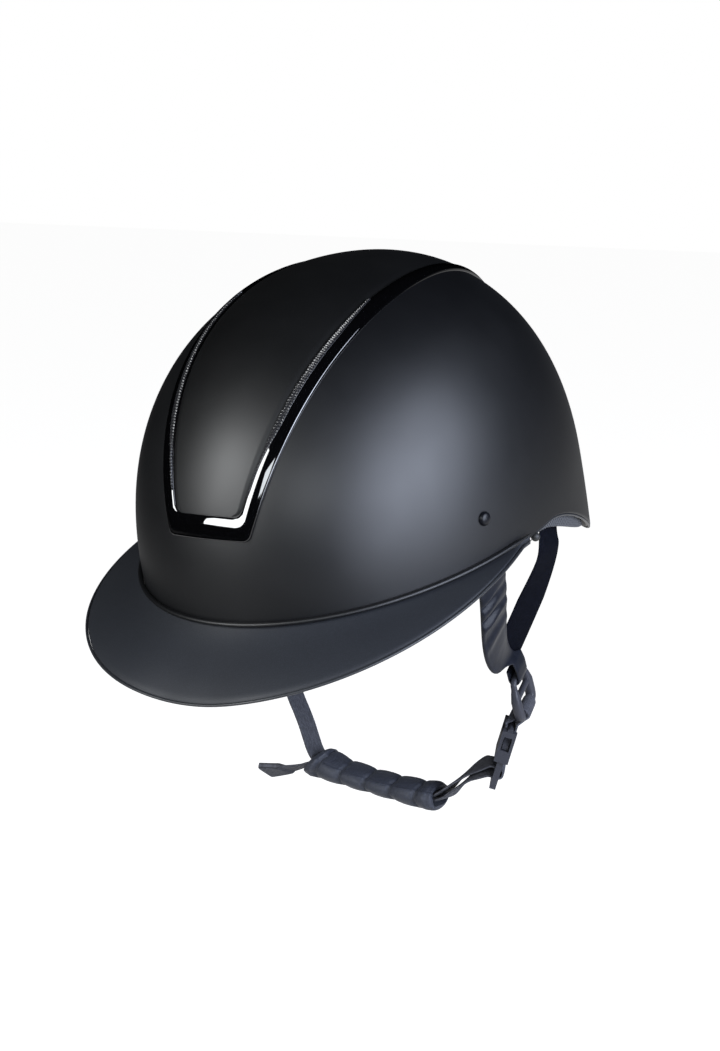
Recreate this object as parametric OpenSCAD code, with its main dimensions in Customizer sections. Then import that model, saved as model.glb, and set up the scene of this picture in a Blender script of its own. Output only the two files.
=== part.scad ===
// Riding helmet: hard shell, brim, trim, foam liner, pads, harness and size adjuster.
// The front faces -Y, the wearer's left side is +X, and +Z is up.
// The origin lies on the symmetry plane, where the shell is widest, level with the brim's seam.

/* [Shell] */
// Outside width of the shell
shell_width = 203.6; // [194:0.2:214]
// From the origin to the shell's foremost point
shell_front = 128; // [120:0.5:136]
// From the origin to the shell's rearmost point
shell_back = 134; // [126:0.5:142]
// Height of the crown above the seam
dome_height = 128; // [120:0.5:136]
// How far the shell reaches below the seam at the nape
nape_drop = 50; // [44:0.5:56]
// Wall of the shell
shell_wall = 2.4; // [2:0.1:3.2]
// Diameter of the domed rivet cap on each side
rivet_cap_d = 7; // [6:0.2:10]

/* [Brim and trim] */
// How far the brim stands out at the front
brim_reach = 35.7; // [26:0.1:42]
// How far the brim's edge drops at the front
brim_drop = 23; // [15:0.5:28]
// Thickness of the brim at its edge
brim_edge_t = 2.4; // [1.8:0.1:3.2]
// Diameter of the piping on the brim's edge and the shell's rear edge
piping_d = 1.5; // [1.1:0.1:2.2]
// Diameter of the bead over the brim's seam
bead_d = 2.4; // [1.6:0.1:3]
// How far the gloss trim stands above the shell
trim_t = 1.4; // [0.8:0.1:2]
// Thickness of the centre panel
panel_t = 0.7; // [0.5:0.1:1]
// Angle of the trim's front bar above the seam, seen from the side
bar_angle = 19; // [15:0.5:23]

/* [Liner and pads] */
// Thickness of the foam liner at the sides
foam_side_t = 16; // [13:0.5:19]
// Thickness of the foam liner at the front and back
foam_end_t = 19; // [16:0.5:23]
// Thickness of the foam liner at the crown
foam_top_t = 21; // [17:0.5:25]
// Thickness of the comfort pads
pad_t = 6; // [4.5:0.5:8]
// How far the ear lining shows below the shell's edge
lining_drop = 7; // [5:0.5:9]

/* [Harness] */
// Width of the four side straps
side_strap_w = 20; // [16:0.5:22]
// Thickness of the webbing
webbing_t = 1.4; // [1.2:0.1:1.6]
// Thickness of the padded front straps
front_strap_t = 3.2; // [2.6:0.1:4.4]
// Width of the chin strap
chin_strap_w = 14; // [12:0.5:15]
// Diameter of the bars that the webbing turns round
bar_d = 3; // [2.6:0.1:3.4]
// Distance from the symmetry plane to the strap dividers
divider_x = 69.5; // [66:0.5:73]
// Length of a strap divider between its top and bottom bars
divider_pitch = 20; // [18:0.5:22]
// Length of the padded chin sleeve
chin_pad_len = 78; // [66:1:84]
// Height of the padded chin sleeve
chin_pad_h = 15; // [13:0.5:17]
// Depth of the padded chin sleeve, front to back
chin_pad_d = 23; // [21.5:0.5:26]

/* [Buckle] */
// Outside width of the buckle's socket
socket_w = 23; // [21.5:0.5:26]
// Outside thickness of the buckle's socket
socket_t = 7.4; // [7:0.2:9]
// Length of the buckle's socket
socket_len = 19; // [18:0.5:22]
// Thickness of the buckle's tongue and prongs
tongue_t = 3.2; // [2.8:0.1:3.6]

/* [Size adjuster] */
// Diameter of the size dial
dial_d = 29; // [25:0.5:32]
// Thickness of the size dial's rim
dial_t = 8; // [6:0.5:10]
// Pitch radius of the pinion on the dial
pinion_r = 4; // [3.8:0.05:4.4]
// Number of teeth on the pinion
pinion_teeth = 12; // [11:1:13]
// Thickness of the racks and the bands
band_t = 2; // [1.6:0.1:2.4]

/* [Hidden] */

// Clearance between neighbouring pieces that touch softly
gap = 0.3;
// Power of the dome's side profile
dome_power = 2.209;
// Depth at which the near-vertical wall below the seam would close
wall_depth = 260;
// Rows of the nested domes, below and above the seam, and columns round them
rows_low = 3;
rows_high = 9;
dome_cols = 48;
// Depth of the shell's edge below the seam, behind the brim
front_drop = 3.5;
// Azimuths where the rear edge of the shell begins to fall and where it is lowest
ear_az = 96.7;
nape_az = 150;
// Azimuths of the strap channels in the foam
front_channel = [65, 85];
rear_channel = [97, 117];
// Depth of a strap channel
channel_depth = 8;
// Height of a strap channel's roof
channel_top = 34;
// Azimuth where the bay for the size dial begins
bay_az = 156;
// Height of the bay's roof
bay_top = -22;

// Lean of the hanging harness, forward from the vertical
lean = 17.75;
// The chin loop's plane, measured square to it from the origin
loop_w = 39.6;
// Height of the dividers' top bars in the leaning frame
top_bar_u = -80;
// How a divider hangs: its place along w, its tilt, and its turn about its long axis.
// The front strap pulls the left one forward, and the buckle turns it.
left_hang = [36.5, 24, 14];
right_hang = [loop_w, 0, 0];
// Place of the buckle's mouth in the leaning frame
mouth_x = 58.4;
mouth_u = -124;
buckle_tilt = 19;
// Turn of the buckle about its long axis, which brings its front edge outwards
buckle_twist = 30;
// Radius at which webbing turns round a bar
turn_r = bar_d / 2 + 0.35 + webbing_t / 2;

// Middle of the size dial
dial_z = -38;
housing_y = 94;
housing_w = 34;
housing_t = 9;
housing_h = 27;
band_h = 5.4;

// Vector helpers
function unit(v) = v / norm(v);
function flat(grid) = [for (row = grid) for (p = row) p];
function bezier(a, b, c, d, t) =
  a * pow(1 - t, 3) + b * 3 * pow(1 - t, 2) * t + c * 3 * (1 - t) * t * t + d * pow(t, 3);

// Triangles of one grid cell, clockwise from outside
function cell(a, b, c, d) = [[a, b, c], [a, c, d]];

// A solid between two grids of points. Row direction times column direction points to the top grid.
module patch_solid(top, bottom) {
  n = len(top);
  m = len(top[0]);
  k = n * m;
  upper = [for (r = [0 : n - 2]) for (c = [0 : m - 2])
    each cell(r * m + c, r * m + c + 1, (r + 1) * m + c + 1, (r + 1) * m + c)];
  lower = [for (f = upper) [f[2] + k, f[1] + k, f[0] + k]];
  sides = [for (r = [0 : n - 2])
    each concat(
      cell(r * m, (r + 1) * m, k + (r + 1) * m, k + r * m),
      cell((r + 2) * m - 1, (r + 1) * m - 1, k + (r + 1) * m - 1, k + (r + 2) * m - 1))];
  ends = [for (c = [0 : m - 2])
    each concat(
      cell(c + 1, c, k + c, k + c + 1),
      cell((n - 1) * m + c, (n - 1) * m + c + 1, k + (n - 1) * m + c + 1, k + (n - 1) * m + c))];
  polyhedron(concat(flat(top), flat(bottom)), concat(upper, lower, sides, ends));
}

// A dome between two closed grids, each with a point at its pole
module dome_solid(outer, inner, outer_pole, inner_pole) {
  n = len(outer);
  m = len(outer[0]);
  k = n * m + 1;
  function at(r, c) = (r % n) * m + c;
  upper = concat(
    [for (r = [0 : n - 1]) for (c = [0 : m - 2])
      each cell(at(r, c), at(r, c + 1), at(r + 1, c + 1), at(r + 1, c))],
    [for (r = [0 : n - 1]) [at(r, m - 1), n * m, at(r + 1, m - 1)]]);
  lower = [for (f = upper) [f[2] + k, f[1] + k, f[0] + k]];
  edge = [for (r = [0 : n - 1]) each cell(at(r, 0), at(r + 1, 0), k + at(r + 1, 0), k + at(r, 0))];
  polyhedron(
    concat(flat(outer), [outer_pole], flat(inner), [inner_pole]),
    concat(upper, lower, edge));
}

// A sleeve between outer and inner rings, open at both ends
module tube_solid(outer, inner) {
  n = len(outer);
  m = len(outer[0]);
  k = n * m;
  function at(r, c) = r * m + (c % m);
  wall = [for (r = [0 : n - 2]) for (c = [0 : m - 1])
    each cell(at(r, c), at(r, c + 1), at(r + 1, c + 1), at(r + 1, c))];
  bore = [for (f = wall) [f[2] + k, f[1] + k, f[0] + k]];
  ends = [for (c = [0 : m - 1])
    each concat(
      cell(at(0, c + 1), at(0, c), k + at(0, c), k + at(0, c + 1)),
      cell(at(n - 1, c), at(n - 1, c + 1), k + at(n - 1, c + 1), k + at(n - 1, c)))];
  polyhedron(concat(flat(outer), flat(inner)), concat(wall, bore, ends));
}

// Direction of a path at one of its points
function along(path, i) =
  unit(path[min(i + 1, len(path) - 1)] - path[max(i - 1, 0)]);

// Flat webbing along a path. Across holds the direction of its width at each point.
module ribbon(path, across, width, thick) {
  face = [for (i = [0 : len(path) - 1]) unit(cross(across[i], along(path, i)))];
  top = [for (i = [0 : len(path) - 1])
    [path[i] + across[i] * width / 2 + face[i] * thick / 2,
     path[i] - across[i] * width / 2 + face[i] * thick / 2]];
  bottom = [for (i = [0 : len(path) - 1])
    [path[i] + across[i] * width / 2 - face[i] * thick / 2,
     path[i] - across[i] * width / 2 - face[i] * thick / 2]];
  patch_solid(top, bottom);
}

// Round piping along a path, eight-sided
module piping(path, across, d) {
  function ring_side(i, sign) =
    let (face = unit(cross(across[i], along(path, i))))
    [for (a = sign > 0 ? [22.5, 67.5, 112.5, 157.5] : [-22.5, -67.5, -112.5, -157.5])
      path[i] + (across[i] * cos(a) + face * sin(a)) * d / 2];
  patch_solid(
    [for (i = [0 : len(path) - 1]) ring_side(i, 1)],
    [for (i = [0 : len(path) - 1]) ring_side(i, -1)]);
}

// The outline of the dome. Insets shrink its half width, its length and its height.
function plan_scale(z, high) =
  pow(1 - pow(min(1, abs(z) / (z > 0 ? high : wall_depth)), dome_power), 1 / dome_power);
function dome_point(az, z, in_side, in_end, in_top) =
  let (k = plan_scale(z, dome_height - in_top), reach = cos(az) > 0 ? shell_front : shell_back)
  [(shell_width / 2 - in_side) * k * sin(az), -(reach - in_end) * k * cos(az), z];
function wall_at(az, z, inset) = dome_point(az, z, inset, inset, inset);
function plan_normal(az) =
  unit([sin(az) / (shell_width / 2), -cos(az) / (cos(az) > 0 ? shell_front : shell_back), 0]);
function rear_turn(az) = az > 180 ? 360 - az : az;

// Lower edge of the shell, and the heights of the rows above it
function shell_edge(az) =
  let (t = rear_turn(az))
  t < 90 ? -1 - (front_drop - 1) * sqrt(cos(t))
  : t < ear_az ? -1
  : -1 - (nape_drop - 1) * pow(sin(90 * min(1, (t - ear_az) / (nape_az - ear_az))), 1.52);
function row_z(i, edge, high) =
  i <= rows_low ? edge * (1 - i / rows_low)
  : high * pow(sin(90 * (i - rows_low) / (rows_high + 1)), 2 / dome_power);
function dome_az(i) = i * 360 / dome_cols;
function dome_grid(edge, in_side, in_end, in_top) =
  [for (i = [0 : dome_cols - 1])
    [for (j = [0 : rows_low + rows_high])
      dome_point(dome_az(i), row_z(j, edge[i], dome_height - in_top), in_side, in_end, in_top)]];

module outer_shell() {
  edge = [for (i = [0 : dome_cols - 1]) shell_edge(dome_az(i))];
  color([0.07, 0.075, 0.08])
    difference() {
      dome_solid(
        dome_grid(edge, 0, 0, 0),
        dome_grid(edge, shell_wall, shell_wall, shell_wall),
        [0, 0, dome_height],
        [0, 0, dome_height - shell_wall]);
      for (side = [-1, 1])
        rivet_place(side)
          rotate([0, 90, 0])
            cylinder(h = 20, d = rivet_shank_d + 2 * rivet_gap, center = true, $fn = 32);
    }
}

// Side rivets: a domed cap outside, and a shank through the shell that carries the front anchor
rivet_az = 74.2;
rivet_z = 21.5;
rivet_shank_d = 4;
rivet_gap = 0.15;
rivet_cap_h = 2.2;
rivet_foot_d = 6.4;
rivet_foot_h = 0.8;
// The wall leans in at the rivet's height
rivet_lean = 5;
module rivet_place(side) {
  p = wall_at(rivet_az, rivet_z, 0);
  turn = atan2(-p[1] * pow(shell_width / 2, 2), p[0] * pow(shell_front, 2));
  mirror([side > 0 ? 0 : 1, 0, 0])
    translate(p)
      rotate([0, 0, -turn])
        rotate([0, -rivet_lean, 0])
          children();
}
anchor_t = 1.6;
// The anchor is flat on a curved wall, so its middle stands off by this much
anchor_gap = 1.45;
module side_rivet(side) {
  reach = shell_wall + anchor_t + anchor_gap + gap;
  cap_sphere_d = 1.5 * rivet_cap_d;
  color([0.12, 0.125, 0.13])
    rivet_place(side)
      rotate([0, 90, 0]) {
        translate([0, 0, gap])
          intersection() {
            cylinder(h = rivet_cap_h, d = rivet_cap_d, $fn = 48);
            translate([0, 0, rivet_cap_h - cap_sphere_d / 2])
              sphere(d = cap_sphere_d, $fn = 64);
          }
        translate([0, 0, -reach])
          cylinder(h = reach + gap + rivet_cap_h / 4, d = rivet_shank_d, $fn = 32);
        translate([0, 0, -reach - rivet_foot_h + 0.1])
          cylinder(h = rivet_foot_h, d = rivet_foot_d, $fn = 32);
      }
}
module side_rivet_left() side_rivet(1);
module side_rivet_right() side_rivet(-1);

// Front anchor: a plate on the rivet's shank, with a slot that the front strap hangs from
anchor_w = side_strap_w + 6;
anchor_h = 20;
anchor_above = 6;
anchor_hem = 2.2;
module front_anchor(side) {
  color([0.1, 0.1, 0.1])
    rivet_place(side)
      translate([-shell_wall - anchor_gap - anchor_t, 0, 0])
        difference() {
          translate([0, -anchor_w / 2, anchor_above - anchor_h])
            cube([anchor_t, anchor_w, anchor_h]);
          rotate([0, 90, 0])
            cylinder(h = 20, d = rivet_shank_d + 2 * rivet_gap, center = true, $fn = 32);
          translate([-1, -side_strap_w / 2 - 0.6, anchor_above - anchor_h + anchor_hem])
            cube([anchor_t + 2, side_strap_w + 1.2, webbing_t + 1.2]);
        }
}
module front_anchor_left() front_anchor(1);
module front_anchor_right() front_anchor(-1);

// Trim: the frame's inner and outer half widths at an angle round the dome, seen from the side
function trim_outer(a) = let (r = a * PI / 180) 8.24 + 50.29 * r - 17.33 * r * r;
function trim_inner(a) = let (r = a * PI / 180) 1.44 + 47.44 * r - 15.71 * r * r;
trim_end = 148;
bar_width = 5;
trim_steps = 22;
// Part of the trim's width that its top face draws in at each edge, and the crown of that face
trim_bevel = 0.12;
trim_crown = 0.3;
// Point of the dome, raised by lift, at half width x and side angle a
function dome_miss(x, a, r, lift) =
  let (b = (a < 90 ? shell_front : shell_back) + lift)
  pow(pow(x / (shell_width / 2 + lift), 2) + pow(r * cos(a) / b, 2), dome_power / 2)
  + pow(r * sin(a) / (dome_height + lift), dome_power) - 1;
function dome_radius(x, a, lift, low = 0, high = 200, n = 18) =
  let (mid = (low + high) / 2)
  n == 0 ? mid
  : dome_miss(x, a, mid, lift) < 0 ? dome_radius(x, a, lift, mid, high, n - 1)
  : dome_radius(x, a, lift, low, mid, n - 1);
function on_dome(x, a, lift) =
  let (r = dome_radius(x, a, lift)) [x, -r * cos(a), r * sin(a)];

// Rows of the U-shaped frame, from the back of one arm round the front bar to the other
function arm_angle(i) = trim_end - (trim_end - bar_angle - bar_width) * i / trim_steps;
function frame_rows(sign) =
  [for (i = [0 : trim_steps])
    [[sign * trim_outer(arm_angle(i)), arm_angle(i)], [sign * trim_inner(arm_angle(i)), arm_angle(i)]]];
function bar_rows() =
  let (top = bar_angle + bar_width)
  [for (s = [1, 0.5, 0, -0.5, -1])
    [[s * trim_outer(bar_angle), bar_angle], [s * trim_inner(top), top]]];
function reversed(list) = [for (i = [len(list) - 1 : -1 : 0]) list[i]];
module trim_frame() {
  rows = concat(frame_rows(1), bar_rows(), reversed(frame_rows(-1)));
  function row(r, lift, inset) =
    [for (t = [1 - inset, 0.5, inset])
      on_dome(r[0][0] + (r[1][0] - r[0][0]) * t, r[0][1] + (r[1][1] - r[0][1]) * t,
        lift + (t == 0.5 && lift > gap ? trim_crown : 0))];
  color([0.02, 0.02, 0.022])
    patch_solid(
      [for (r = rows) row(r, trim_t, trim_bevel)],
      [for (r = rows) row(r, gap, 0)]);
}

// Centre panel: a thin sheet on the shell between the trim's arms
panel_cols = 9;
panel_margin = 0.8;
module centre_panel() {
  first = bar_angle + bar_width + panel_margin;
  last = trim_end - 2;
  function row(i, lift) =
    let (a = first + (last - first) * i / trim_steps, w = trim_inner(a) - panel_margin)
    [for (c = [0 : panel_cols]) on_dome(w * (1 - 2 * c / panel_cols), a, lift)];
  color([0.075, 0.08, 0.085])
    patch_solid(
      [for (i = [0 : trim_steps]) row(i, gap + panel_t)],
      [for (i = [0 : trim_steps]) row(i, gap)]);
}

// Vent mesh: a ribbed strip along the inner side of each arm, over the front half of the dome
vent_first = 29;
vent_last = 84;
vent_ribs = 26;
vent_w = 2.6;
vent_t = 0.4;
vent_rib_h = 0.35;
module vent_mesh(side) {
  rows = 2 * vent_ribs;
  function row(i, lift) =
    let (a = vent_first + (vent_last - vent_first) * i / rows,
         w = trim_inner(a) + 1,
         raise = lift + (i % 2) * vent_rib_h)
    [on_dome(w + vent_w, a, raise), on_dome(w, a, raise)];
  color([0.05, 0.05, 0.055])
    mirror([side > 0 ? 0 : 1, 0, 0])
      patch_solid(
        [for (i = [0 : rows]) row(i, trim_t + gap + vent_t)],
        [for (i = [0 : rows]) row(i, trim_t + gap)]);
}
module vent_mesh_left() vent_mesh(1);
module vent_mesh_right() vent_mesh(-1);

// Brim: its edge stands out from the shell's plan, and drops, by a rule of the azimuth
brim_side_reach = 8.2;
brim_side_lift = 6.1;
brim_last = 87;
brim_cols = 32;
brim_root_t = 4;
// The brim lies this far below its seam
brim_sink = 0.2;
// Share of the brim's swell at its sides, which fades out smoothly at the middle
brim_middle = 0.3;
function brim_swell(az) = let (s = sin(2 * abs(az))) s * (1 - exp(-pow(s / brim_middle, 2)));
function brim_width(az) =
  brim_reach * pow(cos(az), 1.46) + brim_side_reach * brim_swell(az) + 0.4;
function brim_z(az) = -brim_drop * pow(cos(az), 1.25) + brim_side_lift * brim_swell(az);
function brim_point(az, out, z) =
  wall_at(az, 0, 0) + plan_normal(az) * out + [0, 0, z];
function brim_profile(u) = 0.22 * (1 - pow(1 - u, 4)) + 0.5 * u + 0.28 * pow(u, 3);
function brim_az(i) = -brim_last + 2 * brim_last * i / brim_cols;
brim_stations = [1, 0.85, 0.6, 0.35, 0.15, 0.05, 0];
function brim_lip(az) = max(2 * gap, brim_width(az) - piping_d - gap);
module brim() {
  function out_at(az, u) = gap + (brim_lip(az) - gap) * u;
  color([0.06, 0.065, 0.07])
    patch_solid(
      [for (i = [0 : brim_cols])
        [for (u = brim_stations)
          brim_point(brim_az(i), out_at(brim_az(i), u), brim_z(brim_az(i)) * brim_profile(u) - brim_sink)]],
      [for (i = [0 : brim_cols])
        [for (u = brim_stations)
          brim_point(brim_az(i), out_at(brim_az(i), u),
            brim_z(brim_az(i)) * brim_profile(u) - brim_sink
            - brim_edge_t - (brim_root_t - brim_edge_t) * (1 - u))]]);
}
module brim_edging() {
  path = [for (i = [0 : brim_cols])
    brim_point(brim_az(i), brim_lip(brim_az(i)) + gap + piping_d / 2,
      brim_z(brim_az(i)) - brim_sink - brim_edge_t / 2)];
  color([0.16, 0.165, 0.17])
    piping(path, [for (i = [0 : brim_cols]) plan_normal(brim_az(i))], piping_d);
}
module seam_bead() {
  path = [for (i = [0 : brim_cols])
    brim_point(brim_az(i), bead_d / 2 + gap / 2, gap / 2 + bead_d / 2)];
  color([0.07, 0.075, 0.08])
    piping(path, [for (i = [0 : brim_cols]) plan_normal(brim_az(i))], bead_d);
}
// Edging under the shell's rear edge, from ear to ear, with the shell's own columns
edging_cols = dome_cols / 2;
edging_lug_d = 3.8;
module shell_edging() {
  function az(i) = 90 + dome_az(i);
  path = [for (i = [0 : edging_cols])
    wall_at(az(i), shell_edge(az(i)), shell_wall / 2) - [0, 0, piping_d / 2 + gap + 0.1]];
  color([0.16, 0.165, 0.17]) {
    piping(path, [for (i = [0 : edging_cols]) plan_normal(az(i))], piping_d);
    // A round lug ends the edging at each ear
    for (end = [path[0], path[edging_cols]])
      translate(end - [0, 0, (edging_lug_d - piping_d) / 2 + gap])
        sphere(d = edging_lug_d, $fn = 24);
  }
}

// Foam liner inside the shell, with channels for the straps and a bay for the size dial
foam_in = shell_wall + gap;
function in_band(az, band) = (rear_turn(az) >= band[0] && rear_turn(az) <= band[1]) ? 1 : 0;
function foam_edge(az) =
  let (t = rear_turn(az), base = min(-1, shell_edge(az) + 4))
  t < ear_az ? -1 : t > bay_az ? bay_top : max(base, base + (bay_top - base) * pow(t / bay_az, 24));
function channel(az, z) =
  z > channel_top ? 0
  : channel_depth * max(in_band(az, front_channel), in_band(az, rear_channel));
module foam_liner() {
  edge = [for (i = [0 : dome_cols - 1]) foam_edge(dome_az(i))];
  outer = [for (i = [0 : dome_cols - 1])
    [for (j = [0 : rows_low + rows_high])
      let (z = row_z(j, edge[i], dome_height - foam_in),
           inset = foam_in + channel(dome_az(i), z))
      dome_point(dome_az(i), z, inset, inset, foam_in)]];
  color([0.13, 0.13, 0.14])
    dome_solid(
      outer,
      dome_grid(edge, foam_in + foam_side_t, foam_in + foam_end_t, foam_in + foam_top_t),
      [0, 0, dome_height - foam_in],
      [0, 0, dome_height - foam_in - foam_top_t]);
}

// Pads on the liner's inner face. Depth is measured from the liner into the head's space.
pad_gap = 0.75;
pad_rim = 1.2;
function inner_wall(az, z, depth) =
  dome_point(az, z, foam_in + foam_side_t + pad_gap + depth, foam_in + foam_end_t + pad_gap + depth,
    foam_in + foam_top_t + pad_gap + depth);
module wall_pad(first, last, low, high, cols, rows) {
  function az(i) = first + (last - first) * i / cols;
  function z(i, j) = low(az(i)) + (high(az(i)) - low(az(i))) * j / rows;
  function crown(i, j) =
    pad_rim + (pad_t - pad_rim) * pow(sin(180 * i / cols), 0.3) * pow(sin(180 * j / rows), 0.45);
  color(fabric)
    patch_solid(
      [for (i = [0 : cols]) [for (j = [0 : rows]) inner_wall(az(i), z(i, j), 0)]],
      [for (i = [0 : cols]) [for (j = [0 : rows]) inner_wall(az(i), z(i, j), crown(i, j))]]);
}
fabric = [0.09, 0.09, 0.1];
brow_half_span = 62;
brow_pad_h = 26;
module brow_pad()
  wall_pad(-brow_half_span, brow_half_span, function (az) 1, function (az) 1 + brow_pad_h, 24, 6);
side_pad_az = [68, 112];
side_pad_low = 30;
side_pad_h = 32;
module side_pad(side)
  mirror([side > 0 ? 0 : 1, 0, 0])
    wall_pad(side_pad_az[0], side_pad_az[1],
      function (az) side_pad_low, function (az) side_pad_low + side_pad_h, 12, 6);
module side_pad_left() side_pad(1);
module side_pad_right() side_pad(-1);
nape_pad_az = [100, 152];
nape_pad_h = 26;
module nape_pad(side)
  mirror([side > 0 ? 0 : 1, 0, 0])
    wall_pad(nape_pad_az[0], nape_pad_az[1],
      function (az) foam_edge(az) + 1, function (az) foam_edge(az) + 1 + nape_pad_h, 14, 6);
module nape_pad_left() nape_pad(1);
module nape_pad_right() nape_pad(-1);

// Crown pad: a round cushion under the top of the liner
crown_rings = 5;
crown_cols = 24;
crown_span = 46;
module crown_pad() {
  top = dome_height - foam_in - foam_top_t - pad_gap;
  function az(i) = i * 360 / crown_cols;
  function z(j, depth) =
    (top - depth) * pow(sin(crown_span + (90 - crown_span) * j / (crown_rings + 1)), 2 / dome_power);
  function depth(j) = pad_rim + (pad_t - pad_rim) * sqrt(sin(90 * j / crown_rings));
  outer = [for (i = [0 : crown_cols - 1])
    [for (j = [0 : crown_rings]) inner_wall(az(i), z(j, 0), 0)]];
  inner = [for (i = [0 : crown_cols - 1])
    [for (j = [0 : crown_rings]) inner_wall(az(i), z(j, depth(j)), depth(j))]];
  color(fabric)
    dome_solid(outer, inner, [0, 0, top], [0, 0, top - pad_t]);
}

// Ear lining: soft mesh that shows below the shell's edge behind each ear
lining_first = 90.5;
lining_last = 123;
lining_cols = 14;
lining_t = 2.2;
lining_rim = 0.4;
// Height of the lining at its two tips
lining_tip = 1.2;
lining_swell = [0.2, 0.8, 1, 0.9, 0.6];
module ear_lining(side) {
  function az(i) = lining_first + (lining_last - lining_first) * i / lining_cols;
  function low(i) =
    shell_edge(az(i)) - gap - lining_tip
    - (lining_drop - lining_tip) * pow(sin(180 * i / lining_cols), 0.8);
  function high(i) = min(foam_edge(az(i)), shell_edge(az(i)) + 4) - gap;
  function point(i, j, inset) = wall_at(az(i), low(i) + (high(i) - low(i)) * j / rows, inset);
  rows = len(lining_swell) - 1;
  near = shell_wall + gap + piping_d / 2;
  function far(j) = near + lining_rim + (lining_t - lining_rim) * lining_swell[j];
  color([0.2, 0.2, 0.21])
    mirror([side > 0 ? 0 : 1, 0, 0])
      patch_solid(
        [for (i = [0 : lining_cols]) [for (j = [0 : rows]) point(i, j, near)]],
        [for (i = [0 : lining_cols]) [for (j = [0 : rows]) point(i, j, far(j))]]);
}
module ear_lining_left() ear_lining(1);
module ear_lining_right() ear_lining(-1);

// Frame of the hanging harness: x to the side, w square to the chin loop, u up along it
function leaning(x, w, u) = [x, w * cos(lean) + u * sin(lean), u * cos(lean) - w * sin(lean)];
across_loop = leaning(0, 1, 0);
module in_loop(x, w, u, tilt, twist = 0) {
  rotate([-lean, 0, 0])
    translate([x, w, u])
      rotate([0, tilt, 0])
        rotate([0, 0, twist])
          children();
}
// Point of a divider's own frame: x out, z up from the top bar
function on_divider(hang, x, z) =
  leaning(divider_x + x * cos(hang[2]),
    hang[0] + x * sin(hang[2]) * cos(hang[1]) - z * sin(hang[1]),
    top_bar_u + x * sin(hang[2]) * sin(hang[1]) + z * cos(hang[1]));
function bar_across(hang) =
  leaning(-sin(hang[2]), cos(hang[2]) * cos(hang[1]), cos(hang[2]) * sin(hang[1]));

// Width direction of a hanging strap, which turns from flat on the shell's wall to facing sideways
function facing(path, i, az, t, sideways = [1, 0, 0]) =
  unit(cross(along(path, i), plan_normal(az) * (1 - t) + sideways * t));

// Depth of the straps' upper ends, from the shell's outside to the middle of the webbing
strap_inset = shell_wall + anchor_gap + anchor_t + gap + 1;
// Front strap: padded, from the anchor down to a turn round the divider's top bar
front_steps = 14;
gather_steps = 4;
// Handles of the curves of the hanging straps, at the anchor and at the divider
front_start_pull = [-7.7, 22.6, -44.6];
front_end_pull = [0, -35, 8];
// Place on the divider, above its bar, where the hanging straps reach it
meet_z = 10;
meet_x = turn_r - 0.9;
function front_route(hang) =
  let (start = wall_at(rivet_az + 0.8, rivet_z - anchor_h + anchor_above + anchor_hem, strap_inset),
       finish = on_divider(hang, meet_x, meet_z))
  [for (i = [0 : front_steps - 1])
    bezier(start, start + front_start_pull, finish + front_end_pull, finish, i / front_steps)];
function top_turn(hang) =
  concat(
    [on_divider(hang, meet_x, meet_z), on_divider(hang, turn_r, meet_z / 2)],
    [for (a = [0 : -36 : -180]) on_divider(hang, turn_r * cos(a), turn_r * sin(a))],
    [on_divider(hang, -turn_r, meet_z / 2)]);
module front_strap(hang) {
  slope = front_route(hang);
  turn = top_turn(hang);
  path = concat(slope, turn);
  n = len(slope);
  across = [for (i = [0 : len(path) - 1])
    i < n - 1 ? facing(path, i, rivet_az, i / n) : -bar_across(hang)];
  face = [for (i = [0 : len(path) - 1]) unit(cross(across[i], along(path, i)))];
  function thick(i) =
    i > n - 3 ? webbing_t : i < 3 ? webbing_t + 0.2 : front_strap_t;
  // The strap is gathered over its last steps before the divider
  function width(i) =
    side_strap_w - (side_strap_w - chin_strap_w) * min(1, max(0, (i - n + gather_steps + 1) / gather_steps));
  function side_points(i, s) =
    [for (t = [0.5, 0.38, 0, -0.38, -0.5])
      path[i] + across[i] * width(i) * t
      + face[i] * s * thick(i) / 2 * (abs(t) == 0.5 ? 0.45 : abs(t) == 0.38 ? 0.85 : 1)];
  color([0.08, 0.08, 0.09])
    patch_solid(
      [for (i = [0 : len(path) - 1]) side_points(i, 1)],
      [for (i = [0 : len(path) - 1]) side_points(i, -1)]);
}
module front_strap_left() front_strap(left_hang);
module front_strap_right() mirror([1, 0, 0]) front_strap(right_hang);

// Rear strap: webbing from the rear anchor to the inner face of the front strap's lower end
rear_az = 108;
rear_start_z = 4;
rear_steps = 14;
rear_inset = strap_inset + 1.7;
rear_start_pull = [2.4, -26.9, -34.5];
rear_end_pull = [38.8, 24.2, 75.7];
// Below the shell's edge the strap faces this way
rear_facing = [1, -0.2, 0];
rear_turn_rate = 1.6;
// Room between the rear strap's end and the front strap that it is sewn to
rear_meet_gap = 1.4;
module rear_strap(hang) {
  start = wall_at(rear_az, rear_start_z, rear_inset);
  finish = on_divider(hang, -turn_r - webbing_t - rear_meet_gap, meet_z - 1);
  path = [for (i = [0 : rear_steps])
    bezier(start, start + rear_start_pull, finish + rear_end_pull, finish, i / rear_steps)];
  across = [for (i = [0 : rear_steps])
    facing(path, i, rear_az, min(1, rear_turn_rate * i / rear_steps), rear_facing)];
  color([0.1, 0.105, 0.11])
    ribbon(path, across, side_strap_w - 1, webbing_t);
}
module rear_strap_left() rear_strap(left_hang);
module rear_strap_right() mirror([1, 0, 0]) rear_strap(right_hang);

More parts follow.
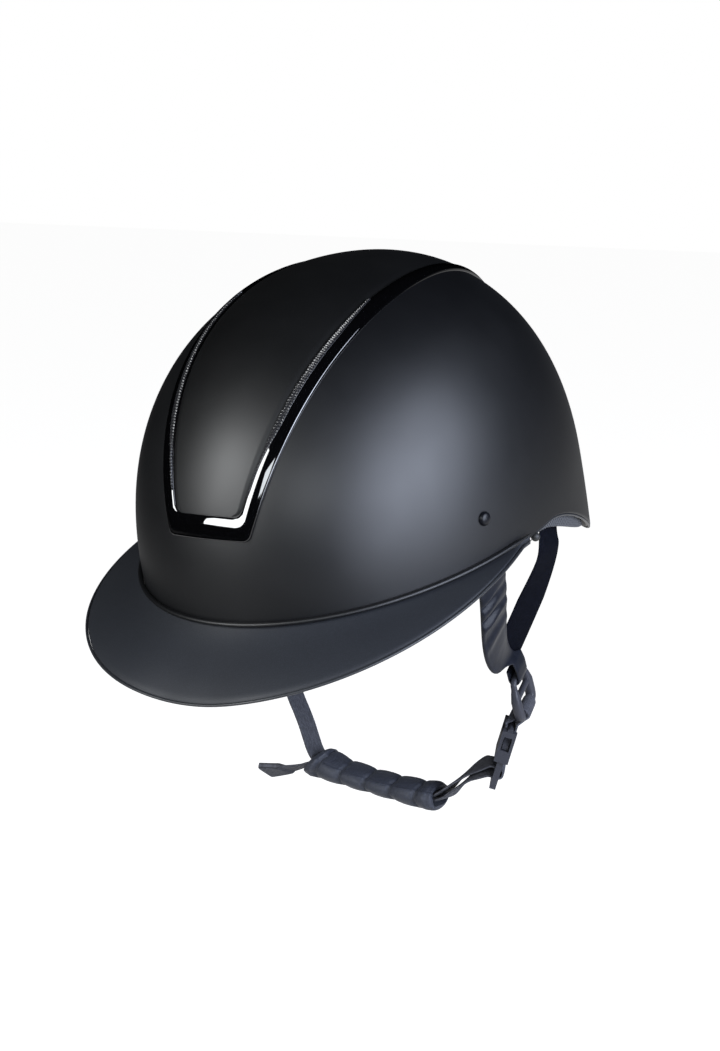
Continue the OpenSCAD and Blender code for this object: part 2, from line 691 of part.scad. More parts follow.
// Rear anchor: a moulded block in the foam's rear channel that holds the webbing's end
rear_anchor_h = 14;
module rear_anchor(side) {
  p = wall_at(rear_az, 0, 0);
  face = rear_inset - webbing_t / 2 - gap;
  back = shell_wall + anchor_gap;
  turn = atan2(p[1] * pow(shell_width / 2, 2), p[0] * pow(shell_back, 2));
  color([0.1, 0.1, 0.1])
    mirror([side > 0 ? 0 : 1, 0, 0])
      translate(p)
        rotate([0, 0, turn])
          translate([-face, -side_strap_w / 2, 0])
            cube([face - back, side_strap_w, rear_anchor_h]);
}
module rear_anchor_left() rear_anchor(1);
module rear_anchor_right() rear_anchor(-1);

// Divider: side rails with three bars that the webbing turns round
rail_w = 3;
rail_d = bar_d + 1.4;
divider_w = chin_strap_w + 2 * rail_w + 1.6;
module divider() {
  color([0.05, 0.05, 0.055]) {
    for (z = [0, -divider_pitch / 2, -divider_pitch])
      translate([0, 0, z])
        rotate([90, 0, 0])
          cylinder(h = divider_w - 1, d = bar_d, center = true, $fn = 32);
    for (side = [-1, 1])
      translate([0, side * (divider_w - rail_w) / 2, 0])
        rotate([90, 0, 0])
          translate([0, 0, -rail_w / 2])
            linear_extrude(rail_w) {
              translate([-rail_d / 2, -divider_pitch])
                square([rail_d, divider_pitch]);
              for (z = [0, -divider_pitch])
                translate([0, z])
                  circle(d = rail_d, $fn = 32);
            }
  }
}
module divider_left()
  rotate([-lean, 0, 0])
    translate([divider_x, left_hang[0], top_bar_u])
      rotate([left_hang[1], 0, 0])
        rotate([0, 0, left_hang[2]])
          divider();
module divider_right() in_loop(-divider_x, loop_w, top_bar_u, 0) divider();

// Point of the buckle's own frame, at its mouth: x outward, z up into the socket
function on_buckle(x, z) =
  leaning(mouth_x + x * cos(buckle_twist) * cos(buckle_tilt) + z * sin(buckle_tilt),
    loop_w + x * sin(buckle_twist),
    mouth_u - x * cos(buckle_twist) * sin(buckle_tilt) + z * cos(buckle_tilt));
buckle_across = leaning(
  -sin(buckle_twist) * cos(buckle_tilt), cos(buckle_twist), sin(buckle_twist) * sin(buckle_tilt));

// Lower strap: a short loop of webbing from the divider's bottom bar to the socket's bar
socket_bar_z = socket_len - bar_d / 2;
module lower_strap() {
  z0 = -divider_pitch;
  bottom_turn = [for (a = [180 : -36 : 0])
    on_divider(left_hang, turn_r * cos(a), z0 + turn_r * sin(a))];
  socket_turn = [for (a = [0 : -36 : -180])
    on_buckle(turn_r * cos(a), socket_bar_z + turn_r * sin(a))];
  path = concat(
    [on_buckle(-turn_r + 0.2, socket_bar_z + 4.2), on_divider(left_hang, -turn_r, z0 - 2.5)],
    bottom_turn,
    [on_divider(left_hang, turn_r, z0 - 2.5), on_buckle(turn_r, socket_bar_z + 3)],
    socket_turn,
    [on_buckle(-turn_r, socket_bar_z + 1.5)]);
  bars = len(bottom_turn) + 2;
  across = [for (i = [0 : len(path) - 1])
    i > 0 && i <= bars ? -bar_across(left_hang) : -buckle_across];
  color([0.1, 0.105, 0.11])
    ribbon(path, across, chin_strap_w, webbing_t);
}

// Buckle socket: a flat box with an open mouth, side windows for the prongs and a strap bar
mouth_half = 8;
mouth_gap = 0.4;
window_low = 7;
cavity_top = 14.5;
lip = 0.5;
module buckle_socket() {
  cavity_t = tongue_t + 2 * lip;
  color([0.05, 0.05, 0.055])
    in_loop(mouth_x, loop_w, mouth_u, buckle_tilt, buckle_twist)
      difference() {
        translate([-socket_t / 2, -socket_w / 2, mouth_gap])
          cube([socket_t, socket_w, socket_bar_z - mouth_gap]);
        translate([-cavity_t / 2, -mouth_half, -1])
          cube([cavity_t, 2 * mouth_half, cavity_top + 1]);
        translate([-cavity_t / 2, -socket_w / 2 - 1, window_low])
          cube([cavity_t, socket_w + 2, cavity_top - window_low]);
        socket_strap_slot();
      }
  color([0.05, 0.05, 0.055])
    in_loop(mouth_x, loop_w, mouth_u, buckle_tilt, buckle_twist)
      translate([0, 0, socket_bar_z])
        rotate([90, 0, 0])
          cylinder(h = socket_w - 2, d = bar_d, center = true, $fn = 32);
}
module socket_strap_slot() {
  translate([-socket_t, -chin_strap_w / 2 - 0.8, socket_bar_z - turn_r - webbing_t / 2 - 0.4])
    cube([2 * socket_t, chin_strap_w + 1.6, socket_len]);
}

// Buckle tongue: a plate with two strap slots, a centre blade and notches for the prongs' roots
tongue_w = 20;
tongue_len = 15;
prong_y = 6.3;
prong_root_z = -1;
prong_root_d = 2.4;
ladder_bar_z = -7.4;
ladder_bar_h = 2.6;
slot_h = 2.6;
blade_w = 3.2;
blade_len = 11;
module buckle_tongue() {
  slot_w = chin_strap_w + 1.2;
  color([0.05, 0.05, 0.055])
    in_loop(mouth_x, loop_w, mouth_u, buckle_tilt, buckle_twist) {
      difference() {
        translate([-tongue_t / 2, -tongue_w / 2, -tongue_len])
          cube([tongue_t, tongue_w, tongue_len]);
        for (z = [ladder_bar_z + ladder_bar_h / 2, ladder_bar_z - ladder_bar_h / 2 - slot_h])
          translate([-tongue_t, -slot_w / 2, z])
            cube([2 * tongue_t, slot_w, slot_h]);
        for (side = [-1, 1])
          translate([0, side * prong_y, 0]) {
            translate([0, 0, prong_root_z])
              rotate([0, 90, 0])
                cylinder(h = 2 * tongue_t, d = prong_root_d + 2 * gap, center = true, $fn = 32);
            translate([-tongue_t, -prong_root_d / 2 - gap, prong_root_z])
              cube([2 * tongue_t, prong_root_d + 2 * gap, 3]);
          }
      }
      translate([-tongue_t / 2, -blade_w / 2, -1])
        cube([tongue_t, blade_w, blade_len + 1]);
    }
}

// Prong: a sprung arm from the tongue, with a hook behind the socket's window edge
hook_y = 9.8;
hook_low = window_low + gap;
hook_high = 12.8;
prong_w = 2;
module prong(side) {
  y0 = prong_y - prong_w / 2;
  y1 = prong_y + prong_w / 2;
  color([0.06, 0.06, 0.065])
    in_loop(mouth_x, loop_w, mouth_u, buckle_tilt, buckle_twist)
      mirror([0, side > 0 ? 0 : 1, 0])
        rotate([90, 0, 90])
          translate([0, 0, -tongue_t / 2])
            linear_extrude(tongue_t) {
              translate([prong_y, prong_root_z])
                circle(d = prong_root_d, $fn = 32);
              polygon([[y0, prong_root_z], [y1, prong_root_z], [y1, hook_low],
                [hook_y, hook_low], [hook_y, hook_low + 2.2], [y1 - 0.6, hook_high], [y0, hook_high]]);
            }
}
module prong_front() prong(-1);
module prong_rear() prong(1);

// Chin strap: from the right divider through the sleeve, round the tongue's bar, and back as a tail
sleeve_left = -57;
// The tail runs out of the sleeve to the left. Its end is folded over twice and stitched.
tail_x = -89.5;
tail_u = -150.2;
tail_sag = 1;
tail_end_t = 3.8;
function sleeve_x(t) = sleeve_left + chin_pad_len * t;
function sleeve_u(t) = -140.6 - 4.2 * (1 - pow(1 - t, 3)) - 5.8 * t;
function layer(x, u) = leaning(x, loop_w, u);
layer_shift = webbing_t / 2 + 0.25;
// Turn of the strap about its own run, between the sleeve and the buckle
strap_twist = [0, 6, 13, 20, 26];
module chin_strap() {
  bar_u = top_bar_u - divider_pitch;
  drop_layer = concat(
    [layer(-divider_x + turn_r - 0.1, bar_u - 4)],
    [for (a = [0 : 36 : 180]) layer(-divider_x + turn_r * cos(a), bar_u + turn_r * sin(a))],
    [layer(-71.4, -104), layer(-69.4, -109), layer(-66.2, -115), layer(-62.8, -122),
     layer(-60, -129), layer(-57.4, -135), layer(-54, -139.2)],
    [for (t = [0.12, 0.25, 0.4, 0.55, 0.7, 0.85, 0.97]) layer(sleeve_x(t), sleeve_u(t) + layer_shift)]);
  rise_layer = [layer(25, -146.2), leaning(30, loop_w - 0.4, -142), leaning(36, loop_w - 0.9, -137.2),
    leaning(42, loop_w - 1.5, -132.7), leaning(48, loop_w - 2, -129.3)];
  tongue_turn = [for (p = [[-4.2, -4.9], [-1.4, -4.8], [1.5, -4.8], [2.9, -5.7], [3.1, -7.4],
    [2.9, -9.1], [1.5, -10], [-1.4, -10], [-4.2, -10.4]]) on_buckle(p[0], p[1])];
  fall_layer = [leaning(47.4, loop_w - 2, -133.2), leaning(42.4, loop_w - 1.5, -135.8),
    leaning(37, loop_w - 0.9, -140.2), leaning(31.3, loop_w - 0.4, -144.8), layer(25.6, -149.6)];
  back_layer = concat(
    [for (t = [0.97, 0.85, 0.7, 0.55, 0.4, 0.25, 0.12, 0]) layer(sleeve_x(t), sleeve_u(t) - layer_shift)],
    [for (t = [0.17, 0.36, 0.58, 0.61, 0.81, 1])
      layer(sleeve_left + (tail_x - sleeve_left) * t,
        sleeve_u(0) - layer_shift + (tail_u - sleeve_u(0) + layer_shift) * t - tail_sag * sin(180 * t))]);
  path = concat(drop_layer, rise_layer, tongue_turn, fall_layer, back_layer);
  n = len(path);
  rise = len(drop_layer);
  turn = rise + len(rise_layer);
  fall = turn + len(tongue_turn);
  back = fall + len(fall_layer);
  function twisted(i, angle) =
    unit(across_loop * cos(angle) - cross(across_loop, along(path, i)) * sin(angle));
  across = [for (i = [0 : n - 1])
    i < rise || i >= back ? across_loop
    : i < turn ? twisted(i, strap_twist[i - rise])
    : i < fall ? buckle_across
    : twisted(i, -strap_twist[back - 1 - i])];
  face = [for (i = [0 : n - 1]) unit(cross(across[i], along(path, i)))];
  function thick(i) = i > n - 4 ? tail_end_t : webbing_t;
  function edge(i, s, f) =
    path[i] + across[i] * s * chin_strap_w / 2 + face[i] * f * thick(i) / 2;
  color([0.1, 0.105, 0.11])
    patch_solid(
      [for (i = [0 : n - 1]) [edge(i, 1, 1), edge(i, -1, 1)]],
      [for (i = [0 : n - 1]) [edge(i, 1, -1), edge(i, -1, -1)]]);
}

// Chin pad: a quilted sleeve with slanting seams, open along its bore and cut slantwise at the left
sleeve_rings = 30;
sleeve_sides = 14;
quilt_seams = 4;
seam_depth = 0.12;
bore_w = chin_strap_w + 2.4;
bore_h = 4 * webbing_t + 1.4;
module chin_pad() {
  function swell(t, a) =
    let (seam = (quilt_seams + 1) * (t + 0.06 * sin(a)))
    1 - seam_depth * pow(abs(cos(180 * (seam - 0.5))), 6) * (t > 0.05 && t < 0.97 ? 1 : 0);
  function ease(t) = min(1, 0.87 + 2.6 * min(t, 1 - t));
  // The sleeve is flattest at its middle
  function flat_middle(t) = 0.8 + 0.3 * pow(2 * t - 1, 2);
  function flare(t) = 1 + 0.3 * max(0, 1 - min(t, 1 - t) / 0.15);
  function square_off(v) = sign(v) * pow(abs(v), 0.55);
  function ring(i, bore) =
    let (t = i / sleeve_rings)
    [for (k = [0 : sleeve_sides - 1])
      let (a = -360 * k / sleeve_sides,
           q = swell(t, a) * ease(t),
           w = bore ? bore_w / 2 * square_off(cos(a)) : chin_pad_d / 2 * cos(a) * q,
           half_h = bore ? bore_h / 2 * flare(t) : chin_pad_h / 2 * flat_middle(t),
           u = half_h * (bore ? square_off(sin(a)) : sin(a) * q),
           slant = t < 0.2 ? (0.2 - t) * 5 * 0.75 * max(-2, u + 2) : 0)
      leaning(sleeve_x(t) + slant + 0.12 * u, loop_w + w, sleeve_u(t) + u)];
  color([0.12, 0.125, 0.13])
    tube_solid([for (i = [0 : sleeve_rings]) ring(i, false)], [for (i = [0 : sleeve_rings]) ring(i, true)]);
}

// Size adjuster at the nape: a housing with two racks that the dial's pinion drives
rack_h = 2.6;
tooth_h = 1.25;
rack_pitch = 2 * PI * pinion_r / pinion_teeth;
rack_reach = 13;
tooth_root = 0.46;
tooth_tip = 0.22;
shaft_d = 4;
wall_t = 1.5;
pinion_t = 4;
rack_t = band_t + 0.8;
rack_out = 15.5;
band_slot_h = 2 * (pinion_r + tooth_h / 2 + rack_h) + 2 * gap;
module cradle_housing() {
  color([0.07, 0.07, 0.075])
    translate([0, housing_y, dial_z])
      difference() {
        translate([-housing_w / 2, -housing_t / 2, -housing_h / 2])
          cube([housing_w, housing_t, housing_h]);
        translate([-housing_w / 2 - 1, -housing_t / 2 - 1, -band_slot_h / 2])
          cube([housing_w + 2, housing_t - wall_t + 1, band_slot_h]);
        rotate([-90, 0, 0])
          cylinder(h = housing_t + 2, d = shaft_d + 0.2, center = true, $fn = 48);
      }
}
module cradle_cover() {
  color([0.08, 0.08, 0.085])
    translate([-housing_w / 2 + gap, housing_y - housing_t / 2, dial_z - band_slot_h / 2 + gap])
      cube([housing_w - 2 * gap, wall_t, band_slot_h - 2 * gap]);
}
module dial_pinion() {
  backlash = 0.08;
  tip = pinion_r + tooth_h / 2 - backlash;
  root = pinion_r - tooth_h / 2 - backlash;
  step = 360 / pinion_teeth;
  function tooth(i) =
    let (a = i * step + 90)
    [[root, a - step * 0.24], [tip, a - step * 0.09], [tip, a + step * 0.09], [root, a + step * 0.24]];
  color([0.55, 0.55, 0.56])
    translate([0, housing_y + pinion_t / 2, dial_z])
      rotate([90, 0, 0])
        linear_extrude(pinion_t)
          polygon([for (i = [0 : pinion_teeth - 1]) for (p = tooth(i)) p[0] * [cos(p[1]), sin(p[1])]]);
}
// Dial: a knob with grip notches, a raised middle and a recess for its screw
dial_grips = 20;
grip_r = 1.3;
dial_middle_d = 16;
dial_middle_h = 1.2;
screw_d = 7;
screw_sink = 2;
function dial_front() = housing_y + housing_t / 2 + gap;
module dial_knob() {
  color([0.06, 0.06, 0.065])
    translate([0, 0, dial_z]) {
      translate([0, dial_front(), 0])
        rotate([-90, 0, 0])
          difference() {
            union() {
              cylinder(h = dial_t, d = dial_d, $fn = 96);
              cylinder(h = dial_t + dial_middle_h, d = dial_middle_d, $fn = 64);
            }
            for (i = [0 : dial_grips - 1])
              rotate([0, 0, i * 360 / dial_grips])
                translate([dial_d / 2 + 0.5, 0, -1])
                  cylinder(h = dial_t + 2, r = grip_r, $fn = 24);
            translate([0, 0, dial_t - screw_sink])
              cylinder(h = 5, d = screw_d + 0.4, $fn = 48);
          }
      translate([0, housing_y + pinion_t / 2 + 0.1, 0])
        rotate([-90, 0, 0])
          cylinder(h = dial_front() - housing_y - pinion_t / 2, d = shaft_d, $fn = 48);
    }
}
module dial_screw() {
  color([0.6, 0.6, 0.62])
    translate([0, dial_front() + dial_t - screw_sink + 0.1, dial_z])
      rotate([-90, 0, 0])
        difference() {
          cylinder(h = screw_sink + 0.2, d = screw_d, $fn = 48);
          translate([-0.5, -2.5, 1.2])
            cube([1, 5, 2]);
        }
}
// Band: a rack in the housing, and an arm that follows the head's side
arm_steps = 14;
// Half width and length of the room inside the pads
head_half_w = shell_width / 2 - foam_in - foam_side_t - pad_gap - pad_t;
head_back = shell_back - foam_in - foam_end_t - pad_gap - pad_t;
// The arm's end and its bend, as parts of that room, and their heights over the dial
arm_end = [0.786 * head_half_w, 0.483 * head_back, 10];
arm_bend = [0.707 * head_half_w, 0.748 * head_back, 4];
module band(side) {
  start = [rack_out - 0.5, housing_y, 0];
  path = [for (i = [0 : arm_steps])
    bezier(start, start + [19, 0, 0], arm_bend, arm_end, i / arm_steps) + [0, 0, dial_z]];
  color([0.09, 0.09, 0.095])
    mirror([side > 0 ? 0 : 1, 0, 0]) {
      ribbon(path, [for (p = path) [0, 0, 1]], band_h, band_t);
      rack(side);
    }
}
// Rack over the pinion on the left band, and under it on the right one
module rack(side) {
  back_z = pinion_r + tooth_h / 2 - 0.02;
  block_w = 3;
  translate([0, housing_y, dial_z])
    mirror([0, 0, side > 0 ? 0 : 1]) {
      translate([-rack_reach, -rack_t / 2, back_z])
        cube([rack_reach + rack_out, rack_t, rack_h]);
      rotate([90, 0, 0])
        translate([0, 0, -rack_t / 2])
          linear_extrude(rack_t)
            for (i = [-4 : 5])
              translate([(i + 0.5) * rack_pitch, pinion_r])
                polygon([[-tooth_root, tooth_h / 2], [-tooth_tip, -tooth_h / 2],
                  [tooth_tip, -tooth_h / 2], [tooth_root, tooth_h / 2]]);
      translate([rack_out - block_w, -rack_t / 2, -band_h / 2])
        cube([block_w, rack_t, band_h / 2 + back_z + rack_h]);
    }
}
module band_left() band(1);
module band_right() band(-1);

// Hanger: two strips that carry the housing from the foam above it
hanger_x = 9;
hanger_w = 8;
hanger_t = 1.6;
module cradle_hanger() {
  low_z = dial_z + housing_h / 2 + 3 * gap;
  top_z = bay_top + 16;
  function point(t) =
    let (z = low_z + (top_z - low_z) * t, wall_y = inner_wall(174, z, hanger_t / 2 + 0.5)[1])
    [hanger_x, housing_y + (wall_y - housing_y) * min(1, 1.6 * t), z];
  path = [for (t = [0, 0.2, 0.4, 0.6, 0.8, 1]) point(t)];
  color([0.08, 0.08, 0.085])
    for (side = [0, 1])
      mirror([side, 0, 0])
        ribbon(path, [for (p = path) [1, 0, 0]], hanger_w, hanger_t);
}

// Cradle pad: a cushion on the housing's head side
cradle_pad_w = housing_w + 8;
cradle_pad_h = housing_h - 3;
module cradle_pad() {
  cols = 10;
  rows = 6;
  face_y = housing_y - housing_t / 2 - gap;
  function point(i, j, depth) =
    [cradle_pad_w * (i / cols - 0.5), face_y - depth, dial_z + cradle_pad_h * (j / rows - 0.5)];
  function crown(i, j) =
    pad_rim + (pad_t - pad_rim) * pow(sin(180 * i / cols), 0.35) * pow(sin(180 * j / rows), 0.4);
  color(fabric)
    patch_solid(
      [for (i = [0 : cols]) [for (j = [0 : rows]) point(i, j, crown(i, j))]],
      [for (i = [0 : cols]) [for (j = [0 : rows]) point(i, j, 0)]]);
}

outer_shell();
centre_panel();
trim_frame();
vent_mesh_left();
vent_mesh_right();
brim();
brim_edging();
seam_bead();
shell_edging();
foam_liner();
brow_pad();
crown_pad();
side_pad_left();
side_pad_right();
nape_pad_left();
nape_pad_right();
ear_lining_left();
ear_lining_right();
side_rivet_left();
side_rivet_right();
front_anchor_left();
front_anchor_right();
rear_anchor_left();
rear_anchor_right();
front_strap_left();
front_strap_right();
rear_strap_left();
rear_strap_right();
divider_left();
divider_right();
lower_strap();
buckle_socket();
buckle_tongue();
prong_front();
prong_rear();
chin_strap();
chin_pad();
cradle_housing();
cradle_cover();
cradle_hanger();
cradle_pad();
dial_knob();
dial_pinion();
dial_screw();
band_left();
band_right();
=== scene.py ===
"""Looks of a riding helmet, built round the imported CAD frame.

The helmet's front faces -Y, the wearer's left side is +X and +Z is up. Shapes are worked out
in millimetres and turned into metres when a mesh is made.
"""

from __future__ import annotations

import logging
import math
from dataclasses import dataclass
from enum import Enum
from typing import Callable, Iterator, Sequence

import bpy
import numpy as np
from mathutils import Matrix, Vector

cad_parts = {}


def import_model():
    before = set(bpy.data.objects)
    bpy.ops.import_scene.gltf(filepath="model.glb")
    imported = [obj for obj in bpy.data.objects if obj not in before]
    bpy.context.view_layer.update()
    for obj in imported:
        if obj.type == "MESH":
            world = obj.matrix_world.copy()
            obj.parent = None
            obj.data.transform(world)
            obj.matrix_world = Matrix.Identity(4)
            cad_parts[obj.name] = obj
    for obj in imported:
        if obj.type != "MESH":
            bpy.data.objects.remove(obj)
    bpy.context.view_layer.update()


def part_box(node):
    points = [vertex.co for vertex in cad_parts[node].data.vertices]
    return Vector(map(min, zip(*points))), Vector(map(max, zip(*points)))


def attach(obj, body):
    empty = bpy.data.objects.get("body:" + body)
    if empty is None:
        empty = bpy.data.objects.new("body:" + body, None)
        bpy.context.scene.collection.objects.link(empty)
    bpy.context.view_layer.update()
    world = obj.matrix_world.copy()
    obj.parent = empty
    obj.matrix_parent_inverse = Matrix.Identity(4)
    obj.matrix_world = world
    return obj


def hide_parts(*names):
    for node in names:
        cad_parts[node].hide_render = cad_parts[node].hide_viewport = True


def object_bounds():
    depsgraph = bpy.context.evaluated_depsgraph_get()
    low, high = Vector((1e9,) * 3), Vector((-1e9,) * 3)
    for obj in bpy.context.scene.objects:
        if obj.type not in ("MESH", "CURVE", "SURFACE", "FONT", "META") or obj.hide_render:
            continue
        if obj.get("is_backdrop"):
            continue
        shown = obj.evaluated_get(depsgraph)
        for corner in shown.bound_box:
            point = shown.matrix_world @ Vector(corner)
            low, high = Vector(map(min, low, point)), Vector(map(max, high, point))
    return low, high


LOG = logging.getLogger("riding_helmet")
MM = 0.001
Points = np.ndarray
Values = np.ndarray | float
Pair = tuple[float, float]
Triple = tuple[float, float, float]
Colour = Triple
Object = bpy.types.Object
Material = bpy.types.Material
Socket = bpy.types.NodeSocket


class Side(Enum):
    """Side of the wearer; the value is the sign of X."""

    LEFT = 1
    RIGHT = -1

    @property
    def label(self) -> str:
        """Name used in the CAD nodes."""
        return "left" if self is Side.LEFT else "right"


class Body(str, Enum):
    """The CAD bodies that new pieces ride on."""

    HELMET = "helmet"
    CHIN_LOOP = "chin_loop"


# Vectors and curves


def unit(vectors: Points) -> Points:
    """Scales vectors to length one.

    Args:
        vectors: One vector, or an array of them.

    Returns:
        The unit vectors.
    """
    return vectors / np.linalg.norm(vectors, axis=-1, keepdims=True)


def smoothstep(low: float, high: float, x: Values) -> Values:
    """Smooth rise from 0 at low to 1 at high."""
    t = np.clip((np.asarray(x, float) - low) / (high - low), 0, 1)
    return t * t * (3 - 2 * t)


def bezier(start: Points, leave: Triple, end: Points, arrive: Triple, count: int) -> Points:
    """Points of a cubic Bezier curve.

    Args:
        start: Its first point.
        leave: Offset of the first point's handle.
        end: Its last point.
        arrive: Offset of the last point's handle.
        count: Number of points.

    Returns:
        The points.
    """
    t = np.linspace(0, 1, count)[:, None]
    b, c = start + np.array(leave), end + np.array(arrive)
    return start * (1 - t) ** 3 + b * 3 * (1 - t) ** 2 * t + c * 3 * (1 - t) * t**2 + end * t**3


def spline(points: Sequence[Points], step: float) -> Points:
    """A smooth curve through points, sampled evenly.

    Args:
        points: The points that the curve passes through.
        step: Distance between samples.

    Returns:
        The samples.
    """
    p = np.asarray(points, float)
    before = 2 * p[0] - p[1]
    after = 2 * p[-1] - p[-2]
    q = np.vstack([before, p, after])
    t = np.linspace(0, 1, 12, endpoint=False)[:, None]
    dense = [
        0.5
        * (
            2 * q[i]
            + (q[i + 1] - q[i - 1]) * t
            + (2 * q[i - 1] - 5 * q[i] + 4 * q[i + 1] - q[i + 2]) * t**2
            + (3 * q[i] - q[i - 1] - 3 * q[i + 1] + q[i + 2]) * t**3
        )
        for i in range(1, len(q) - 2)
    ]
    dense = np.vstack([*dense, p[-1:]])
    return resample(dense, step)


def arc_length(path: Points) -> Points:
    """Distance of each point from the start of its path."""
    return np.concatenate([[0], np.cumsum(np.linalg.norm(np.diff(path, axis=0), axis=1))])


def resample(path: Points, step: float) -> Points:
    """The same path with evenly spaced points.

    Args:
        path: Points of the path.
        step: Distance between the new points, about.

    Returns:
        The new points, from the first to the last.
    """
    length = arc_length(path)
    count = max(3, int(round(length[-1] / step)) + 1)
    at = np.linspace(0, length[-1], count)
    return np.stack([np.interp(at, length, path[:, k]) for k in range(path.shape[1])], -1)


def tangents(path: Points) -> Points:
    """Unit directions of a path at its points."""
    return unit(np.gradient(path, axis=0))


def signed_power(values: Points, power: float) -> Points:
    """Powers that keep the sign, which turn a circle into a rounded square."""
    return np.sign(values) * np.abs(values) ** power


def shares(rows: int, cols: int) -> tuple[Points, Points]:
    """Shares from 0 to 1 down the rows and across the columns of a grid."""
    return np.linspace(0, 1, rows)[:, None], np.linspace(0, 1, cols)[None, :]


def all_round(columns: int) -> Points:
    """Azimuths of evenly spaced columns round the helmet."""
    return -np.arange(columns) * 360 / columns


def from_front(azimuth: Values) -> Points:
    """Degrees from the front, whichever way round."""
    return 180 - np.abs(180 - np.mod(azimuth, 360))


# Meshes


@dataclass
class Shape:
    """The mesh of a piece before it is made.

    Attributes:
        points: Its points in millimetres.
        faces: Its faces, by the numbers of their points.
        uv: Flat coordinates in metres for woven patterns.
    """

    points: Points
    faces: list[tuple[int, ...]]
    uv: Points | None = None

    def mirrored(self, side: Side) -> Shape:
        """The shape itself on the left, its mirror image on the right."""
        faces = self.faces if side is Side.LEFT else [f[::-1] for f in self.faces]
        return Shape(self.points * np.array([side.value, 1.0, 1.0]), faces, self.uv)

    def joined(self, other: Shape) -> Shape:
        """This shape and another as one, without flat coordinates."""
        moved = [tuple(i + len(self.points) for i in f) for f in other.faces]
        return Shape(np.vstack([self.points, other.points]), self.faces + moved)


def quads(rows: int, cols: int, wrap: bool = False) -> list[tuple[int, ...]]:
    """Faces between the points of a grid, stored row by row.

    Args:
        rows: Number of rows.
        cols: Number of points in a row.
        wrap: Whether the last column meets the first.

    Returns:
        Quads whose normal is row direction times column direction.
    """
    faces = []
    for r in range(rows - 1):
        for c in range(cols if wrap else cols - 1):
            n = (c + 1) % cols
            faces.append((r * cols + c, (r + 1) * cols + c, (r + 1) * cols + n, r * cols + n))
    return faces


def sweep(rings: Points, uv: Points | None = None, closed: bool = False) -> Shape:
    """A solid through rings of points, which are counter-clockwise seen from the start.

    Args:
        rings: Array of rings, each a closed loop.
        uv: Flat coordinates of the same layout.
        closed: Whether the last ring meets the first.

    Returns:
        The solid, capped at both ends unless it is closed.
    """
    n, m = rings.shape[:2]
    points = rings.reshape(-1, 3)
    faces = quads(n, m, wrap=True)
    flat = None if uv is None else uv.reshape(-1, 2)
    if closed:
        faces += [(((n - 1) * m + c), c, (c + 1) % m, (n - 1) * m + (c + 1) % m) for c in range(m)]
        return Shape(points, faces, flat)
    middles = np.stack([rings[0].mean(0), rings[-1].mean(0)])
    first, last = n * m, n * m + 1
    faces += [(first, c, (c + 1) % m) for c in range(m)]
    faces += [(last, (n - 1) * m + (c + 1) % m, (n - 1) * m + c) for c in range(m)]
    if flat is not None:
        flat = np.vstack([flat, uv[0].mean(0), uv[-1].mean(0)])
    return Shape(np.vstack([points, middles]), faces, flat)


def slab(top: Points, bottom: Points, uv: Points | None = None, rim: float = 0.0) -> Shape:
    """A solid between two grids; row direction times column direction points to the top.

    Args:
        top: Upper grid of points.
        bottom: Lower grid of the same layout.
        uv: Flat coordinates of the same layout.
        rim: How far the middle of the sides swells out, as a share of the thickness.

    Returns:
        The solid.
    """
    n, m = top.shape[:2]
    loop = (
        [(0, c) for c in range(m)]
        + [(r, m - 1) for r in range(1, n)]
        + [(n - 1, c) for c in range(m - 2, -1, -1)]
        + [(r, 0) for r in range(n - 2, 0, -1)]
    )
    k = n * m
    upper = quads(n, m)
    lower = [tuple(i + k for i in reversed(f)) for f in upper]
    edge_top = np.array([top[i] for i in loop])
    edge_low = np.array([bottom[i] for i in loop])
    inner = np.array([top[min(max(r, 1), n - 2), min(max(c, 1), m - 2)] for r, c in loop])
    out = edge_top - inner
    out = out / np.maximum(np.linalg.norm(out, axis=1, keepdims=True), 1e-9)
    thick = np.linalg.norm(edge_top - edge_low, axis=1, keepdims=True)
    middle = (edge_top + edge_low) / 2 + out * thick * rim
    faces = upper + lower
    total = len(loop)
    for i in range(total):
        j = (i + 1) % total
        a, b = loop[i][0] * m + loop[i][1], loop[j][0] * m + loop[j][1]
        faces.append((b, a, 2 * k + i, 2 * k + j))
        faces.append((2 * k + j, 2 * k + i, k + a, k + b))
    flat = None
    if uv is not None:
        flat = uv.reshape(-1, 2)
        flat = np.vstack([flat, flat, [uv[i] for i in loop]])
    return Shape(np.vstack([top.reshape(-1, 3), bottom.reshape(-1, 3), middle]), faces, flat)


def revolve(profile: Sequence[Pair], steps: int) -> Shape:
    """A solid of revolution about Z.

    Args:
        profile: Radius and height pairs, from the foot to the top.
        steps: Points round the axis.

    Returns:
        The solid, closed by its caps.
    """
    angle = np.arange(steps) * 2 * math.pi / steps
    circle = np.stack([np.cos(angle), np.sin(angle), np.zeros(steps)], -1)
    rings = np.array([circle * max(r, 1e-3) + np.array([0, 0, z]) for r, z in profile])
    return sweep(rings[:, ::-1])


def tube(centre: Points, out: Points, radius: Values) -> Shape:
    """A round bar along a path.

    Args:
        centre: Points of its middle.
        out: Directions square to the path.
        radius: Its radius, the same all along or one for each point.

    Returns:
        The solid, capped at both ends.
    """
    up = unit(np.cross(tangents(centre), out))
    turn = np.radians(np.arange(16) * 22.5)[None, :, None]
    ring = out[:, None] * np.cos(turn) + up[:, None] * np.sin(turn)
    size = np.broadcast_to(radius, len(centre))[:, None, None]
    return sweep((centre[:, None] + ring * size)[:, ::-1])


